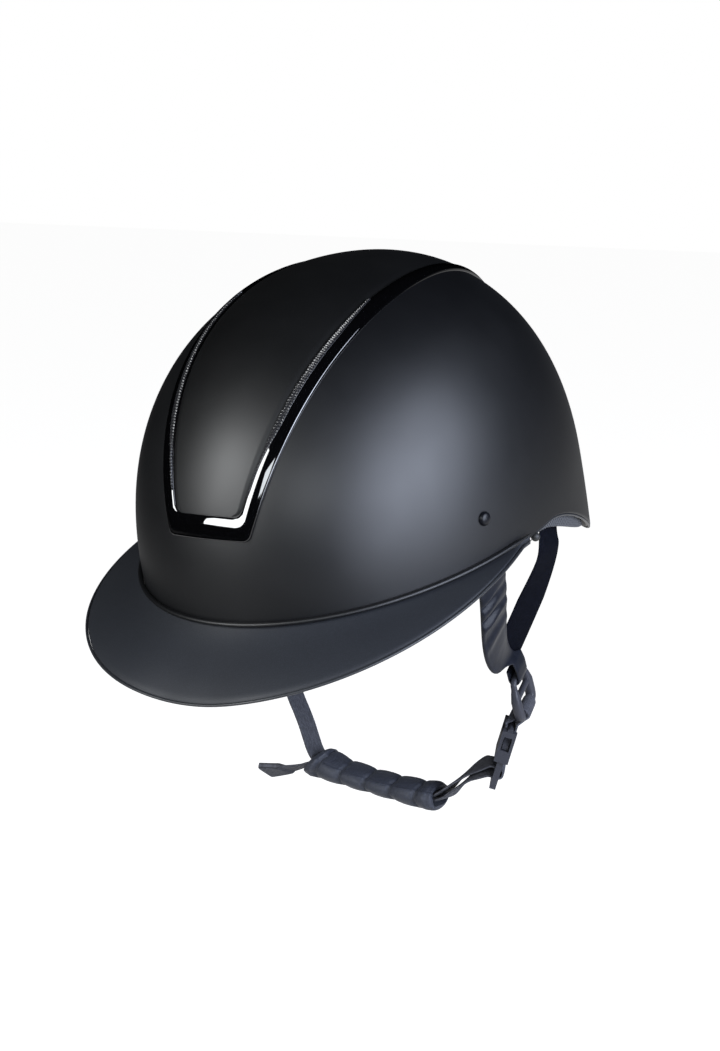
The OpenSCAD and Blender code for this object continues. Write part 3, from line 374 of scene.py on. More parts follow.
def skin(outer: Points, inner: Points, lip: Sequence[Points] = ()) -> Shape:
    """A hollow form: down its outer face, round its lip and up its inner face.

    Args:
        outer: Grid of outer points, each row from the edge to the crown.
        inner: Grid of inner points of the same layout.
        lip: Rings of points round the lip, from the outer face to the inner one.

    Returns:
        The solid.
    """
    rings = [*outer.swapaxes(0, 1)[::-1], *lip, *inner.swapaxes(0, 1)]
    return sweep(np.array(rings))


def placed(shape: Shape, matrix: Matrix) -> Shape:
    """The shape moved by a matrix."""
    m = np.array(matrix)
    return Shape(shape.points @ m[:3, :3].T + m[:3, 3], shape.faces, shape.uv)


def make_piece(
    name: str,
    shape: Shape,
    material: Material,
    replaces: Sequence[str] = (),
    body: Body = Body.HELMET,
    sharp: float = 42.0,
) -> Object:
    """Makes one visible piece and ties it to the CAD frame.

    Args:
        name: Name of the object.
        shape: Its mesh.
        material: Its material.
        replaces: CAD nodes that it stands for.
        body: The CAD body that it rides on.
        sharp: Edges sharper than this angle in degrees stay crisp.

    Returns:
        The new object.
    """
    mesh = bpy.data.meshes.new(name)
    mesh.from_pydata((shape.points * MM).tolist(), [], shape.faces)
    mesh.validate()
    if shape.uv is not None:
        layer = mesh.uv_layers.new(name="flat")
        index = np.empty(len(mesh.loops), np.int32)
        mesh.loops.foreach_get("vertex_index", index)
        layer.data.foreach_set("uv", shape.uv[index].astype(np.float32).ravel())
    mesh.shade_smooth()
    mesh.set_sharp_from_angle(angle=math.radians(sharp))
    mesh.materials.append(material)
    obj = bpy.data.objects.new(name, mesh)
    bpy.context.scene.collection.objects.link(obj)
    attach(obj, body.value)
    if replaces:
        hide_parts(*replaces)
    return obj


def soften_cad(node: str, material: Material, radius: float) -> Object:
    """Gives a carried-over CAD node its material and softly rounded edges.

    Args:
        node: The CAD node.
        material: Its material.
        radius: Width of the rounded edges in millimetres, 0 for none.

    Returns:
        The node's object.
    """
    obj = bpy.data.objects[node]
    obj.data.materials.clear()
    obj.data.materials.append(material)
    obj.data.shade_smooth()
    obj.data.set_sharp_from_angle(angle=math.radians(35))
    if radius:
        bevel = obj.modifiers.new("edges", "BEVEL")
        bevel.width = radius * MM
        bevel.segments = 3
        bevel.limit_method = "ANGLE"
        bevel.angle_limit = math.radians(40)
        bevel.harden_normals = False
    return obj


@dataclass(frozen=True)
class Filling:
    """Simulated cloth under pressure, which fills out the comfort pads.

    Attributes:
        pressure: Pressure inside the pads.
        quality: Steps of the simulation in each frame.
        frames: Length of the simulation.
        cap: Largest swell in millimetres.
        head: The point in metres that the pads swell towards.
    """

    pressure: float = 4.0
    quality: int = 4
    frames: int = 20
    cap: float = 0.7
    head: Triple = (0.0, 0.0, 0.02)

    def run(self, pads: Sequence[Object]) -> None:
        """Fills the pads and keeps the swell of their faces; their seats stay as they are.

        Args:
            pads: The padded pieces.
        """
        for pad in pads:
            cloth = pad.modifiers.new("filling", "CLOTH")
            cloth.settings.quality = self.quality
            cloth.settings.use_pressure = True
            cloth.settings.uniform_pressure_force = self.pressure
            cloth.settings.effector_weights.gravity = 0.0
            cloth.point_cache.frame_end = self.frames
        scene = bpy.context.scene
        for frame in range(1, self.frames + 1):
            scene.frame_set(frame)
        graph = bpy.context.evaluated_depsgraph_get()
        filled = [self.coordinates(pad.evaluated_get(graph).data) for pad in pads]
        for pad, swollen in zip(pads, filled):
            pad.modifiers.remove(pad.modifiers["filling"])
            rest = self.coordinates(pad.data)
            inwards = unit(np.array(self.head) - rest)
            swell = np.clip(np.sum((swollen - rest) * inwards, axis=-1), 0.0, self.cap * MM)
            LOG.info("%s swells by up to %.2f mm", pad.name, swell.max() / MM)
            pad.data.vertices.foreach_set("co", (rest + inwards * swell[:, None]).ravel())
            pad.data.update()
        scene.frame_set(1)

    @staticmethod
    def coordinates(mesh: bpy.types.Mesh) -> Points:
        """The vertices of a mesh in metres."""
        flat = np.empty(3 * len(mesh.vertices))
        mesh.vertices.foreach_get("co", flat)
        return flat.reshape(-1, 3)


# Materials


@dataclass(frozen=True)
class Finish:
    """The plain numbers of a surface.

    Attributes:
        colour: Linear base colour.
        roughness: Roughness of the surface.
        grain: Size of the finest grain in millimetres.
        relief: Height of the grain's bump in millimetres.
        tint: How far the colour wanders from the base, as a share.
        specular: Strength of the reflection.
        sheen: Weight of the soft fibre sheen.
        coat: Weight of the clear coat.
        metallic: 1 for bare metal.
    """

    colour: Colour
    roughness: float
    grain: float = 0.5
    relief: float = 0.02
    tint: float = 0.15
    specular: float = 0.5
    sheen: float = 0.0
    coat: float = 0.0
    metallic: float = 0.0


class Sum(Enum):
    """What a node does with two values."""

    SUBTRACT = "SUBTRACT"
    MULTIPLY = "MULTIPLY"
    MAXIMUM = "MAXIMUM"


class NodeKit:
    """Adds and links the nodes of one node tree."""

    def __init__(self, tree: bpy.types.NodeTree) -> None:
        """Takes over a tree with its first nodes."""
        self.nodes = tree.nodes
        self.links = tree.links

    def node(self, kind: str, **values: object) -> bpy.types.Node:
        """Adds a node.

        Args:
            kind: Blender's name of the node type, without its ShaderNode prefix.
            **values: Input sockets by name, with _ for a space, or node attributes.

        Returns:
            The new node.
        """
        made = self.nodes.new("ShaderNode" + kind)
        for key, value in values.items():
            socket = made.inputs.get(key.replace("_", " "))
            if socket is not None:
                socket.default_value = value
            else:
                setattr(made, key, value)
        return made

    def join(self, source: Socket, target: Socket) -> None:
        """Links two sockets."""
        self.links.new(source, target)

    def worked_out(self, what: Sum, first: Socket | float, second: Socket | float) -> Socket:
        """Works out one value from two.

        Args:
            what: What is done with them.
            first: The first value, from a socket or a plain number.
            second: The second value.

        Returns:
            The result's socket.
        """
        made = self.node("Math", operation=what.value)
        for value, socket in zip((first, second), made.inputs):
            if isinstance(value, float):
                socket.default_value = value
            else:
                self.join(value, socket)
        return made.outputs["Value"]

    def mixed(self, share: Socket, first: Socket, second: Socket) -> Socket:
        """Mixes two shaders.

        Args:
            share: Share of the second one.
            first: The first shader.
            second: The second shader.

        Returns:
            The mix's socket.
        """
        made = self.node("MixShader")
        self.join(share, made.inputs["Fac"])
        self.join(first, made.inputs[1])
        self.join(second, made.inputs[2])
        return made.outputs["Shader"]


class MaterialKit(NodeKit):
    """Builds one procedural material, node by node."""

    def __init__(self, name: str, finish: Finish) -> None:
        """Starts a material.

        Args:
            name: Name of the material.
            finish: Its plain numbers.
        """
        self.finish = finish
        self.material = bpy.data.materials.new(name)
        self.material.use_nodes = True
        super().__init__(self.material.node_tree)
        self.shader = self.nodes["Principled BSDF"]
        self.set_shader()

    def set_shader(self) -> None:
        """Puts the uniform values on the shader's own sockets."""
        sockets = self.shader.inputs
        sockets["Roughness"].default_value = self.finish.roughness
        sockets["Specular IOR Level"].default_value = self.finish.specular
        sockets["Metallic"].default_value = self.finish.metallic
        sockets["Sheen Weight"].default_value = self.finish.sheen
        sockets["Sheen Roughness"].default_value = 0.4
        sockets["Coat Weight"].default_value = self.finish.coat
        sockets["Coat Roughness"].default_value = 0.03

    def position(self) -> Socket:
        """Coordinates in metres, fixed to the object."""
        return self.node("TexCoord").outputs["Object"]

    def flat_mm(self) -> Socket:
        """Flat coordinates along and across a strip, in millimetres."""
        scale = self.node("Mapping", Scale=(1 / MM, 1 / MM, 1.0))
        self.join(self.node("UVMap", uv_map="flat").outputs["UV"], scale.inputs["Vector"])
        return scale.outputs["Vector"]

    def noise(self, size: float, detail: float = 3.0, rough: float = 0.55) -> Socket:
        """Cloudy noise.

        Args:
            size: Size of its features in millimetres, about.
            detail: How many finer layers it has.
            rough: How strong the finer layers are.

        Returns:
            Its values, 0 to 1.
        """
        made = self.node("TexNoise", Scale=1 / (size * MM), Detail=detail, Roughness=rough)
        self.join(self.position(), made.inputs["Vector"])
        return made.outputs["Fac"]

    def shade(self, factor: float) -> Colour:
        """The base colour, lighter or darker."""
        r, g, b = self.finish.colour
        return (r * factor, g * factor, b * factor)

    def ramp(
        self, source: Socket, low: float, high: float, factors: Pair | None = None
    ) -> Socket:
        """The base colour, which wanders with a value.

        Args:
            source: The value.
            low: The value up to which the first shade holds.
            high: The value from which the second shade holds.
            factors: How light both shades are; the finish's tint gives them if left out.

        Returns:
            The colour's socket.
        """
        a, b = factors or (1 - self.finish.tint, 1 + self.finish.tint)
        made = self.node("ValToRGB")
        stops = made.color_ramp.elements
        stops[0].position, stops[1].position = low, high
        stops[0].color, stops[1].color = (*self.shade(a), 1.0), (*self.shade(b), 1.0)
        self.join(source, made.inputs["Fac"])
        return made.outputs["Color"]

    def bump(self, height: Socket, depth: float, below: Socket | None = None) -> Socket:
        """Relief in the surface.

        Args:
            height: Its height, 0 to 1.
            depth: What a height of 1 is in millimetres.
            below: Another relief that it lies on.

        Returns:
            The relief's socket.
        """
        made = self.node("Bump", Strength=1.0, Distance=depth * MM)
        self.join(height, made.inputs["Height"])
        if below is not None:
            self.join(below, made.inputs["Normal"])
        return made.outputs["Normal"]

    def uneven(self, source: Socket, less: float, more: float) -> Socket:
        """Roughness that wanders with a value.

        Args:
            source: The value, 0 to 1.
            less: How far it falls below the finish's roughness.
            more: How far it rises above it.

        Returns:
            The roughness's socket.
        """
        rough = self.finish.roughness
        made = self.node("MapRange", To_Min=rough - less, To_Max=rough + more)
        self.join(source, made.inputs["Value"])
        return made.outputs["Result"]

    def done(self, colour: Socket, relief: Socket, roughness: Socket | None = None) -> Material:
        """Joins what is ready to the shader.

        Args:
            colour: The colour.
            relief: The relief.
            roughness: The roughness, if it isn't the same all over.

        Returns:
            The material.
        """
        self.join(colour, self.shader.inputs["Base Color"])
        self.join(relief, self.shader.inputs["Normal"])
        if roughness is not None:
            self.join(roughness, self.shader.inputs["Roughness"])
        return self.material


def moulded(name: str, finish: Finish) -> Material:
    """Moulded or coated plastic: fine grain, faint cloudiness, uneven gloss.

    Args:
        name: Name of the material.
        finish: Its plain numbers.

    Returns:
        The material.
    """
    kit = MaterialKit(name, finish)
    grain = kit.noise(finish.grain, detail=2.0, rough=0.7)
    spread = 0.06 if finish.roughness > 0.2 else 0.015
    rough = kit.uneven(kit.noise(35.0, detail=2.0), spread, spread)
    return kit.done(kit.ramp(grain, 0.45, 0.8), kit.bump(grain, finish.relief), rough)


def woven(name: str, finish: Finish, pitch: Pair) -> Material:
    """Webbing: floats of yarn in staggered rows, along and across the strip.

    Args:
        name: Name of the material.
        finish: Its plain numbers.
        pitch: Length and width of one float in millimetres.

    Returns:
        The material.
    """
    kit = MaterialKit(name, finish)
    weave = kit.node("TexBrick", Scale=1.0, Mortar_Size=0.09, Mortar_Smooth=1.0, Bias=0.0)
    shades = {"Color1": 1 + finish.tint, "Color2": 1 - finish.tint, "Mortar": 0.35}
    for socket, factor in shades.items():
        weave.inputs[socket].default_value = (*kit.shade(factor), 1.0)
    weave.inputs["Brick Width"].default_value, weave.inputs["Row Height"].default_value = pitch
    weave.offset = 0.5
    kit.join(kit.flat_mm(), weave.inputs["Vector"])
    fibre = kit.noise(0.35, detail=2.0, rough=0.8)
    yarn = kit.worked_out(Sum.SUBTRACT, 1.0, weave.outputs["Fac"])
    relief = kit.bump(yarn, finish.relief, kit.bump(fibre, finish.relief * 0.4))
    return kit.done(weave.outputs["Color"], relief, kit.uneven(fibre, 0.1, 0.1))


def leathery(name: str, finish: Finish) -> Material:
    """Thin coated leather: pebbled cells over soft creases.

    Args:
        name: Name of the material.
        finish: Its plain numbers.

    Returns:
        The material.
    """
    kit = MaterialKit(name, finish)
    cells = kit.node("TexVoronoi", Scale=1 / (finish.grain * MM), feature="SMOOTH_F1")
    kit.join(kit.position(), cells.inputs["Vector"])
    creases = kit.noise(4.0, detail=5.0, rough=0.6)
    folds = kit.bump(creases, finish.relief * 4)
    relief = kit.bump(cells.outputs["Distance"], finish.relief, folds)
    return kit.done(kit.ramp(creases, 0.3, 0.75), relief, kit.uneven(creases, 0.1, 0.12))


def knitted(name: str, finish: Finish) -> Material:
    """Brushed cloth over padding: crossed yarns, fluff and a faint melange.

    Args:
        name: Name of the material.
        finish: Its plain numbers.

    Returns:
        The material.
    """
    kit = MaterialKit(name, finish)
    scale = 0.314 / (finish.grain * MM)
    warp = kit.node("TexWave", Scale=scale, Distortion=2.5, Detail=2.0, Detail_Scale=3.0)
    weft = kit.node("TexWave", Scale=scale, Distortion=2.5, bands_direction="Z")
    for wave in (warp, weft):
        kit.join(kit.position(), wave.inputs["Vector"])
    cross = kit.worked_out(Sum.MULTIPLY, warp.outputs["Fac"], weft.outputs["Fac"])
    melange = kit.noise(1.1, detail=3.0, rough=0.8)
    relief = kit.bump(cross, finish.relief, kit.bump(melange, finish.relief))
    return kit.done(kit.ramp(melange, 0.3, 0.75), relief)


def perforated(name: str, finish: Finish, pitch: float, hole: float) -> Material:
    """Open mesh: round holes in an even pattern over a dark ground.

    Args:
        name: Name of the material.
        finish: Its plain numbers.
        pitch: Distance between holes in millimetres.
        hole: Share of the pitch that a hole takes.

    Returns:
        The material.
    """
    kit = MaterialKit(name, finish)
    turned = kit.node("Mapping", Rotation=(0.0, 0.0, math.radians(45)))
    kit.join(kit.flat_mm(), turned.inputs["Vector"])
    cells = kit.node("TexVoronoi", Scale=1 / pitch, Randomness=0.0, voronoi_dimensions="2D")
    kit.join(turned.outputs["Vector"], cells.inputs["Vector"])
    radius = hole * 0.5
    colour = kit.ramp(cells.outputs["Distance"], radius, radius + 0.18, (0.12, 1.1))
    fluff = kit.bump(kit.noise(finish.grain, detail=2.0), finish.relief * 0.3)
    return kit.done(colour, kit.bump(cells.outputs["Distance"], finish.relief, fluff))


def beaded_foam(name: str, finish: Finish) -> Material:
    """Expanded polystyrene: pressed beads with dark joints.

    Args:
        name: Name of the material.
        finish: Its plain numbers.

    Returns:
        The material.
    """
    kit = MaterialKit(name, finish)
    beads = kit.node("TexVoronoi", Scale=1 / (finish.grain * MM), feature="DISTANCE_TO_EDGE")
    kit.join(kit.position(), beads.inputs["Vector"])
    colour = kit.ramp(beads.outputs["Distance"], 0.0, 0.12, (0.5, 1.0))
    return kit.done(colour, kit.bump(beads.outputs["Distance"], finish.relief))


def brushed_metal(name: str, finish: Finish) -> Material:
    """Turned steel: fine rings and a light haze.

    Args:
        name: Name of the material.
        finish: Its plain numbers.

    Returns:
        The material.
    """
    kit = MaterialKit(name, finish)
    rings = kit.noise(finish.grain, detail=4.0, rough=0.8)
    colour = kit.ramp(rings, 0.3, 0.7, (0.85, 1.1))
    return kit.done(colour, kit.bump(rings, finish.relief), kit.uneven(rings, 0.08, 0.1))


class Palette:
    """Every material of the helmet, made once."""

    def __init__(self) -> None:
        """Makes the materials."""
        self.shell = moulded(
            "soft_touch_shell",
            Finish((0.0024, 0.0027, 0.0036), 0.45, grain=0.4, relief=0.012, tint=0.3, specular=0.58),
        )
        # The brim is the shell's own soft-touch plastic, given a much lighter colour than the shell:
        # painted light on the brim's upper face.
        self.brim = moulded(
            "soft_touch_brim_painted_light",
            Finish((0.0215, 0.0240, 0.0300), 0.55, grain=0.4, relief=0.012, tint=0.3, specular=0.4),
        )
        self.panel = moulded(
            "soft_touch_panel",
            Finish((0.0028, 0.0030, 0.0034), 0.46, grain=0.4, relief=0.010, tint=0.3, specular=0.62),
        )
        self.gloss = moulded(
            "gloss_trim",
            Finish((0.0016, 0.0016, 0.0019), 0.04, grain=3.0, relief=0.0008, specular=1.0, coat=1.0),
        )
        self.vent = perforated(
            "vent_mesh",
            Finish((0.020, 0.020, 0.023), 0.25, relief=0.1, specular=1.0),
            pitch=0.8,
            hole=0.5,
        )
        self.edging = moulded(
            "edging", Finish((0.022, 0.0235, 0.027), 0.4, grain=0.5, relief=0.01, tint=0.12)
        )
        self.foam = beaded_foam("liner_foam", Finish((0.020, 0.020, 0.021), 0.8, grain=3.2, relief=0.2))
        self.comfort = knitted(
            "comfort_fabric",
            Finish((0.016, 0.016, 0.018), 0.9, grain=0.9, relief=0.08, tint=0.3, sheen=0.15),
        )
        self.ear = perforated(
            "ear_mesh",
            Finish((0.075, 0.078, 0.088), 0.7, grain=0.5, relief=0.3, sheen=0.1),
            pitch=1.7,
            hole=0.6,
        )
        self.rivet = moulded(
            "rivet", Finish((0.0040, 0.0045, 0.0070), 0.33, grain=0.4, relief=0.006, specular=0.3)
        )
        self.anchor = moulded("anchor", Finish((0.02, 0.02, 0.02), 0.5, grain=0.6, relief=0.02))
        self.leather = leathery(
            "strap_leather",
            Finish((0.0110, 0.0125, 0.0180), 0.32, grain=0.8, relief=0.02, tint=0.25, specular=0.15),
        )
        self.webbing = woven(
            "webbing",
            Finish((0.070, 0.072, 0.086), 0.75, relief=0.16, tint=0.3, specular=0.25, sheen=0.05),
            pitch=(1.5, 0.62),
        )
        # Dark webbing of the rear straps, darkened beyond its own colour: painted shade for the shadow
        # that the straps hang in.
        self.side_webbing_painted_shade = woven(
            "side_webbing_painted_shade",
            Finish((0.0040, 0.0047, 0.0085), 0.8, relief=0.12, tint=0.3, specular=0.04),
            pitch=(1.3, 0.5),
        )
        self.buckle = moulded(
            "buckle", Finish((0.042, 0.043, 0.053), 0.42, grain=0.5, relief=0.012, specular=0.4)
        )
        self.chin_cover = knitted(
            "chin_cover",
            Finish((0.030, 0.034, 0.048), 0.5, grain=0.5, relief=0.1, tint=0.4, specular=0.45, sheen=0.06),
        )
        self.adjuster = moulded("adjuster", Finish((0.016, 0.016, 0.017), 0.42, grain=0.7, relief=0.02))
        self.steel = brushed_metal(
            "steel", Finish((0.56, 0.57, 0.58), 0.3, grain=0.3, relief=0.01, metallic=1.0)
        )


# The dome that every hard piece follows


@dataclass(frozen=True)
class Dome:
    """The shell's outer form, sized from the CAD shell.

    Attributes:
        half_width: Half of the outside width.
        front: Distance from the origin to the foremost point.
        back: Distance from the origin to the rearmost point.
        height: Height of the crown.
        nape: Depth of the edge at the nape.
        power: Power of the side profile.
        wall_depth: Depth at which the wall below the seam would close.
        wall: Thickness of the shell.
        front_drop: Depth of the edge behind the brim.
        ear: Azimuth where the rear edge begins to fall.
        nape_from: Azimuth where the rear edge is lowest.
    """

    half_width: float
    front: float
    back: float
    height: float
    nape: float
    power: float = 2.209
    wall_depth: float = 260.0
    wall: float = 2.4
    front_drop: float = 3.5
    ear: float = 96.7
    nape_from: float = 150.0

    @classmethod
    def from_frame(cls) -> Dome:
        """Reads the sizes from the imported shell."""
        low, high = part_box("outer_shell")
        return cls(high.x / MM, -low.y / MM, high.y / MM, high.z / MM, -low.z / MM)

    def scale(self, z: Values, top: float = 0.0) -> Values:
        """How much narrower the plan is at a height.

        Args:
            z: Heights.
            top: How far the crown is lowered.

        Returns:
            Shares of the widest plan.
        """
        limit = np.where(np.asarray(z) > 0, self.height - top, self.wall_depth)
        share = np.clip(np.abs(z) / limit, 0, 1)
        return (1 - share**self.power) ** (1 / self.power)

    def reach(self, azimuth: Values) -> Values:
        """Half length of the plan towards the front or the back."""
        return np.where(np.cos(np.radians(azimuth)) > 0, self.front, self.back)

    def point(self, azimuth: Values, z: Values, side: Values, end: Values, top: float) -> Points:
        """Points of the dome with its width, length and height drawn in.

        Args:
            azimuth: Degrees from the front, positive to the wearer's left.
            z: Heights.
            side: Inset of the half width.
            end: Inset of the length at front and back.
            top: Inset of the crown.

        Returns:
            The points.
        """
        a = np.radians(azimuth)
        k = self.scale(z, top)
        x = (self.half_width - side) * k * np.sin(a)
        y = -(self.reach(azimuth) - end) * k * np.cos(a)
        return np.stack(np.broadcast_arrays(x, y, np.asarray(z, float)), -1)

    def wall_at(self, azimuth: Values, z: Values, inset: Values) -> Points:
        """Points of the dome with the same inset everywhere."""
        return self.point(azimuth, z, inset, inset, max(0.0, float(np.max(inset))))

    def plan_normal(self, azimuth: Values) -> Points:
        """Level outward directions at azimuths."""
        a = np.radians(azimuth)
        x, y = np.sin(a) / self.half_width, -np.cos(a) / self.reach(azimuth)
        return unit(np.stack([x, y, np.zeros_like(a)], -1))

    def edge(self, azimuth: Values) -> Points:
        """Height of the shell's lower edge.

        Args:
            azimuth: Degrees from the front, positive to the wearer's left.

        Returns:
            The heights.
        """
        t = from_front(azimuth)
        front = -1 - (self.front_drop - 1) * np.sqrt(np.clip(np.cos(np.radians(t)), 0, 1))
        fall = np.clip((t - self.ear) / (self.nape_from - self.ear), 0, 1)
        rear = -1 - (self.nape - 1) * np.sin(np.radians(90 * fall)) ** 1.52
        return np.where(t < 90, front, rear)

    def heights(self, edge: Points, high: float, rows: tuple[int, int]) -> Points:
        """Heights of the points of a skin, from its edge to just under the crown.

        Args:
            edge: Height of the lower edge in each column.
            high: Height of the crown.
            rows: Rows of points below the seam and above it.

        Returns:
            One row of heights for each column.
        """
        low = edge[:, None] * (1 - np.linspace(0, 1, rows[0], endpoint=False))[None, :]
        turn = np.radians(90 * np.arange(rows[1]) / rows[1])
        top = high * np.sin(turn) ** (2 / self.power)
        return np.hstack([low, np.repeat(top[None, :], len(edge), axis=0)])

    def on_top(self, x: Values, angle: Values, lift: Values) -> Points:
        """Points of the raised dome, by half width and by angle in the side view.

        Args:
            x: Distances from the symmetry plane.
            angle: Degrees from the front, over the crown.
            lift: Heights above the surface.

        Returns:
            The points.
        """
        x, angle, lift = (np.asarray(v, float) for v in np.broadcast_arrays(x, angle, lift))
        a = np.radians(angle)
        reach = np.where(angle < 90, self.front, self.back) + lift
        outside, halvings = 220.0, 32
        low, high = np.zeros(x.shape), np.full(x.shape, outside)
        for _ in range(halvings):
            r = (low + high) / 2
            plan = (x / (self.half_width + lift)) ** 2 + (r * np.cos(a) / reach) ** 2
            rise = np.abs(r * np.sin(a) / (self.height + lift)) ** self.power
            inside = plan ** (self.power / 2) + rise < 1
            low, high = np.where(inside, r, low), np.where(inside, high, r)
        return np.stack([x, -low * np.cos(a), low * np.sin(a)], -1)


# The sub-assemblies


@dataclass(frozen=True)
class SubAssembly:
    """Pieces that belong together, with the sizes of what they share.

    Attributes:
        dome: The shell's outer form.
        palette: The helmet's materials.
    """

    dome: Dome
    palette: Palette

    def build(self) -> Iterator[Object]:
        """Makes the pieces one after the other."""
        raise NotImplementedError


@dataclass(frozen=True)
class HardShell(SubAssembly):
    """Outer shell with its rivets and rear edging.

    Attributes:
        columns: Columns of points round the shell.
        rows: Rows of points below the seam and above it.
        lip_turns: Angles of the rings of points round the lip.
        lip_drop: How far the lip bulges below the edge.
        edging: Radius of the rear edging.
        edging_drop: How far it lies below the edge.
        edging_out: How far it lies outside the wall's middle.
        lug: Radius of the lugs at its ends.
        lug_drop: How far they lie below it.
        rivet_at: Azimuth and height of the rivet.
        rivet_tilt: Degrees that it looks up.
        flange: Radius and height pairs of its shank and ring.
        cap: Radius and height of its domed cap.
    """

    columns: int = 240
    rows: tuple[int, int] = (14, 70)
    lip_turns: tuple[float, ...] = (20, 50, 90, 130, 160)
    lip_drop: float = 0.35
    edging: float = 0.62
    edging_drop: float = 0.95
    edging_out: float = 0.35
    lug: float = 2.3
    lug_drop: float = 1.7
    rivet_at: Pair = (74.2, 21.5)
    rivet_tilt: float = 5.0
    flange: tuple[Pair, ...] = (
        (2.0, -6.0), (2.0, 0.05), (3.35, 0.1), (3.55, 0.35), (3.45, 0.7), (3.1, 1.0),
    )
    cap: Pair = (3.1, 1.35)

    def build(self) -> Iterator[Object]:
        """Makes the pieces one after the other."""
        yield self.build_shell()
        yield from self.build_edging()
        for side in Side:
            yield self.build_rivet(side)

    def build_shell(self) -> Object:
        """The shell as one closed skin with a rounded lower lip.

        Returns:
            The piece.
        """
        d = self.dome
        azimuth = all_round(self.columns)
        edge = d.edge(azimuth)
        outer = d.wall_at(azimuth[:, None], d.heights(edge, d.height, self.rows), 0.0)
        inner = d.wall_at(azimuth[:, None], d.heights(edge, d.height - d.wall, self.rows), d.wall)
        lip = []
        for turn in np.radians(self.lip_turns):
            depth = d.wall * (1 - math.cos(turn)) / 2
            lip.append(d.wall_at(azimuth, edge - self.lip_drop * math.sin(turn), depth))
        return make_piece(
            "shell_skin", skin(outer, inner, lip), self.palette.shell,
            replaces=["outer_shell"], sharp=60,
        )

    def build_edging(self) -> Iterator[Object]:
        """Thin edging under the rear edge, with a dark round lug at each ear.

        Returns:
            The edging, then its lugs.
        """
        d = self.dome
        azimuth = np.linspace(90, 270, 220)
        path = d.wall_at(azimuth, d.edge(azimuth), d.wall / 2 - self.edging_out)
        path[:, 2] -= self.edging_drop
        yield make_piece(
            "rear_edging", tube(path, d.plan_normal(azimuth), self.edging), self.palette.edging,
            replaces=["shell_edging"],
        )
        turns = np.radians(np.arange(-90, 91, 10))
        ball = revolve([(self.lug * math.cos(t), self.lug * math.sin(t)) for t in turns], 32)
        for end, side in ((0, Side.LEFT), (-1, Side.RIGHT)):
            name = f"edging_lug_{side.label}"
            place = Matrix.Translation(Vector(path[end]) - Vector((0.0, 0.0, self.lug_drop)))
            yield make_piece(name, placed(ball, place), self.palette.anchor)

    def build_rivet(self, side: Side) -> Object:
        """A domed cap on a raised ring, over the CAD rivet's shank.

        Args:
            side: Side that it is on.

        Returns:
            The piece.
        """
        azimuth, z = self.rivet_at
        seat = self.dome.wall_at(azimuth, z, 0.0)
        tilt = math.radians(self.rivet_tilt)
        normal = self.dome.plan_normal(azimuth) * math.cos(tilt)
        normal[2] = math.sin(tilt)
        turn = Vector((0, 0, 1)).rotation_difference(Vector(normal)).to_matrix().to_4x4()
        radius, height = self.cap
        foot = self.flange[-1][1]
        cap = [
            (radius * math.cos(math.radians(t)), foot + height * math.sin(math.radians(t)))
            for t in range(10, 91, 10)
        ]
        rivet = revolve([*self.flange, *cap], 48)
        return make_piece(
            f"rivet_{side.label}",
            placed(rivet, Matrix.Translation(Vector(seat)) @ turn).mirrored(side), self.palette.rivet,
            replaces=[f"side_rivet_{side.label}"], sharp=55,
        )


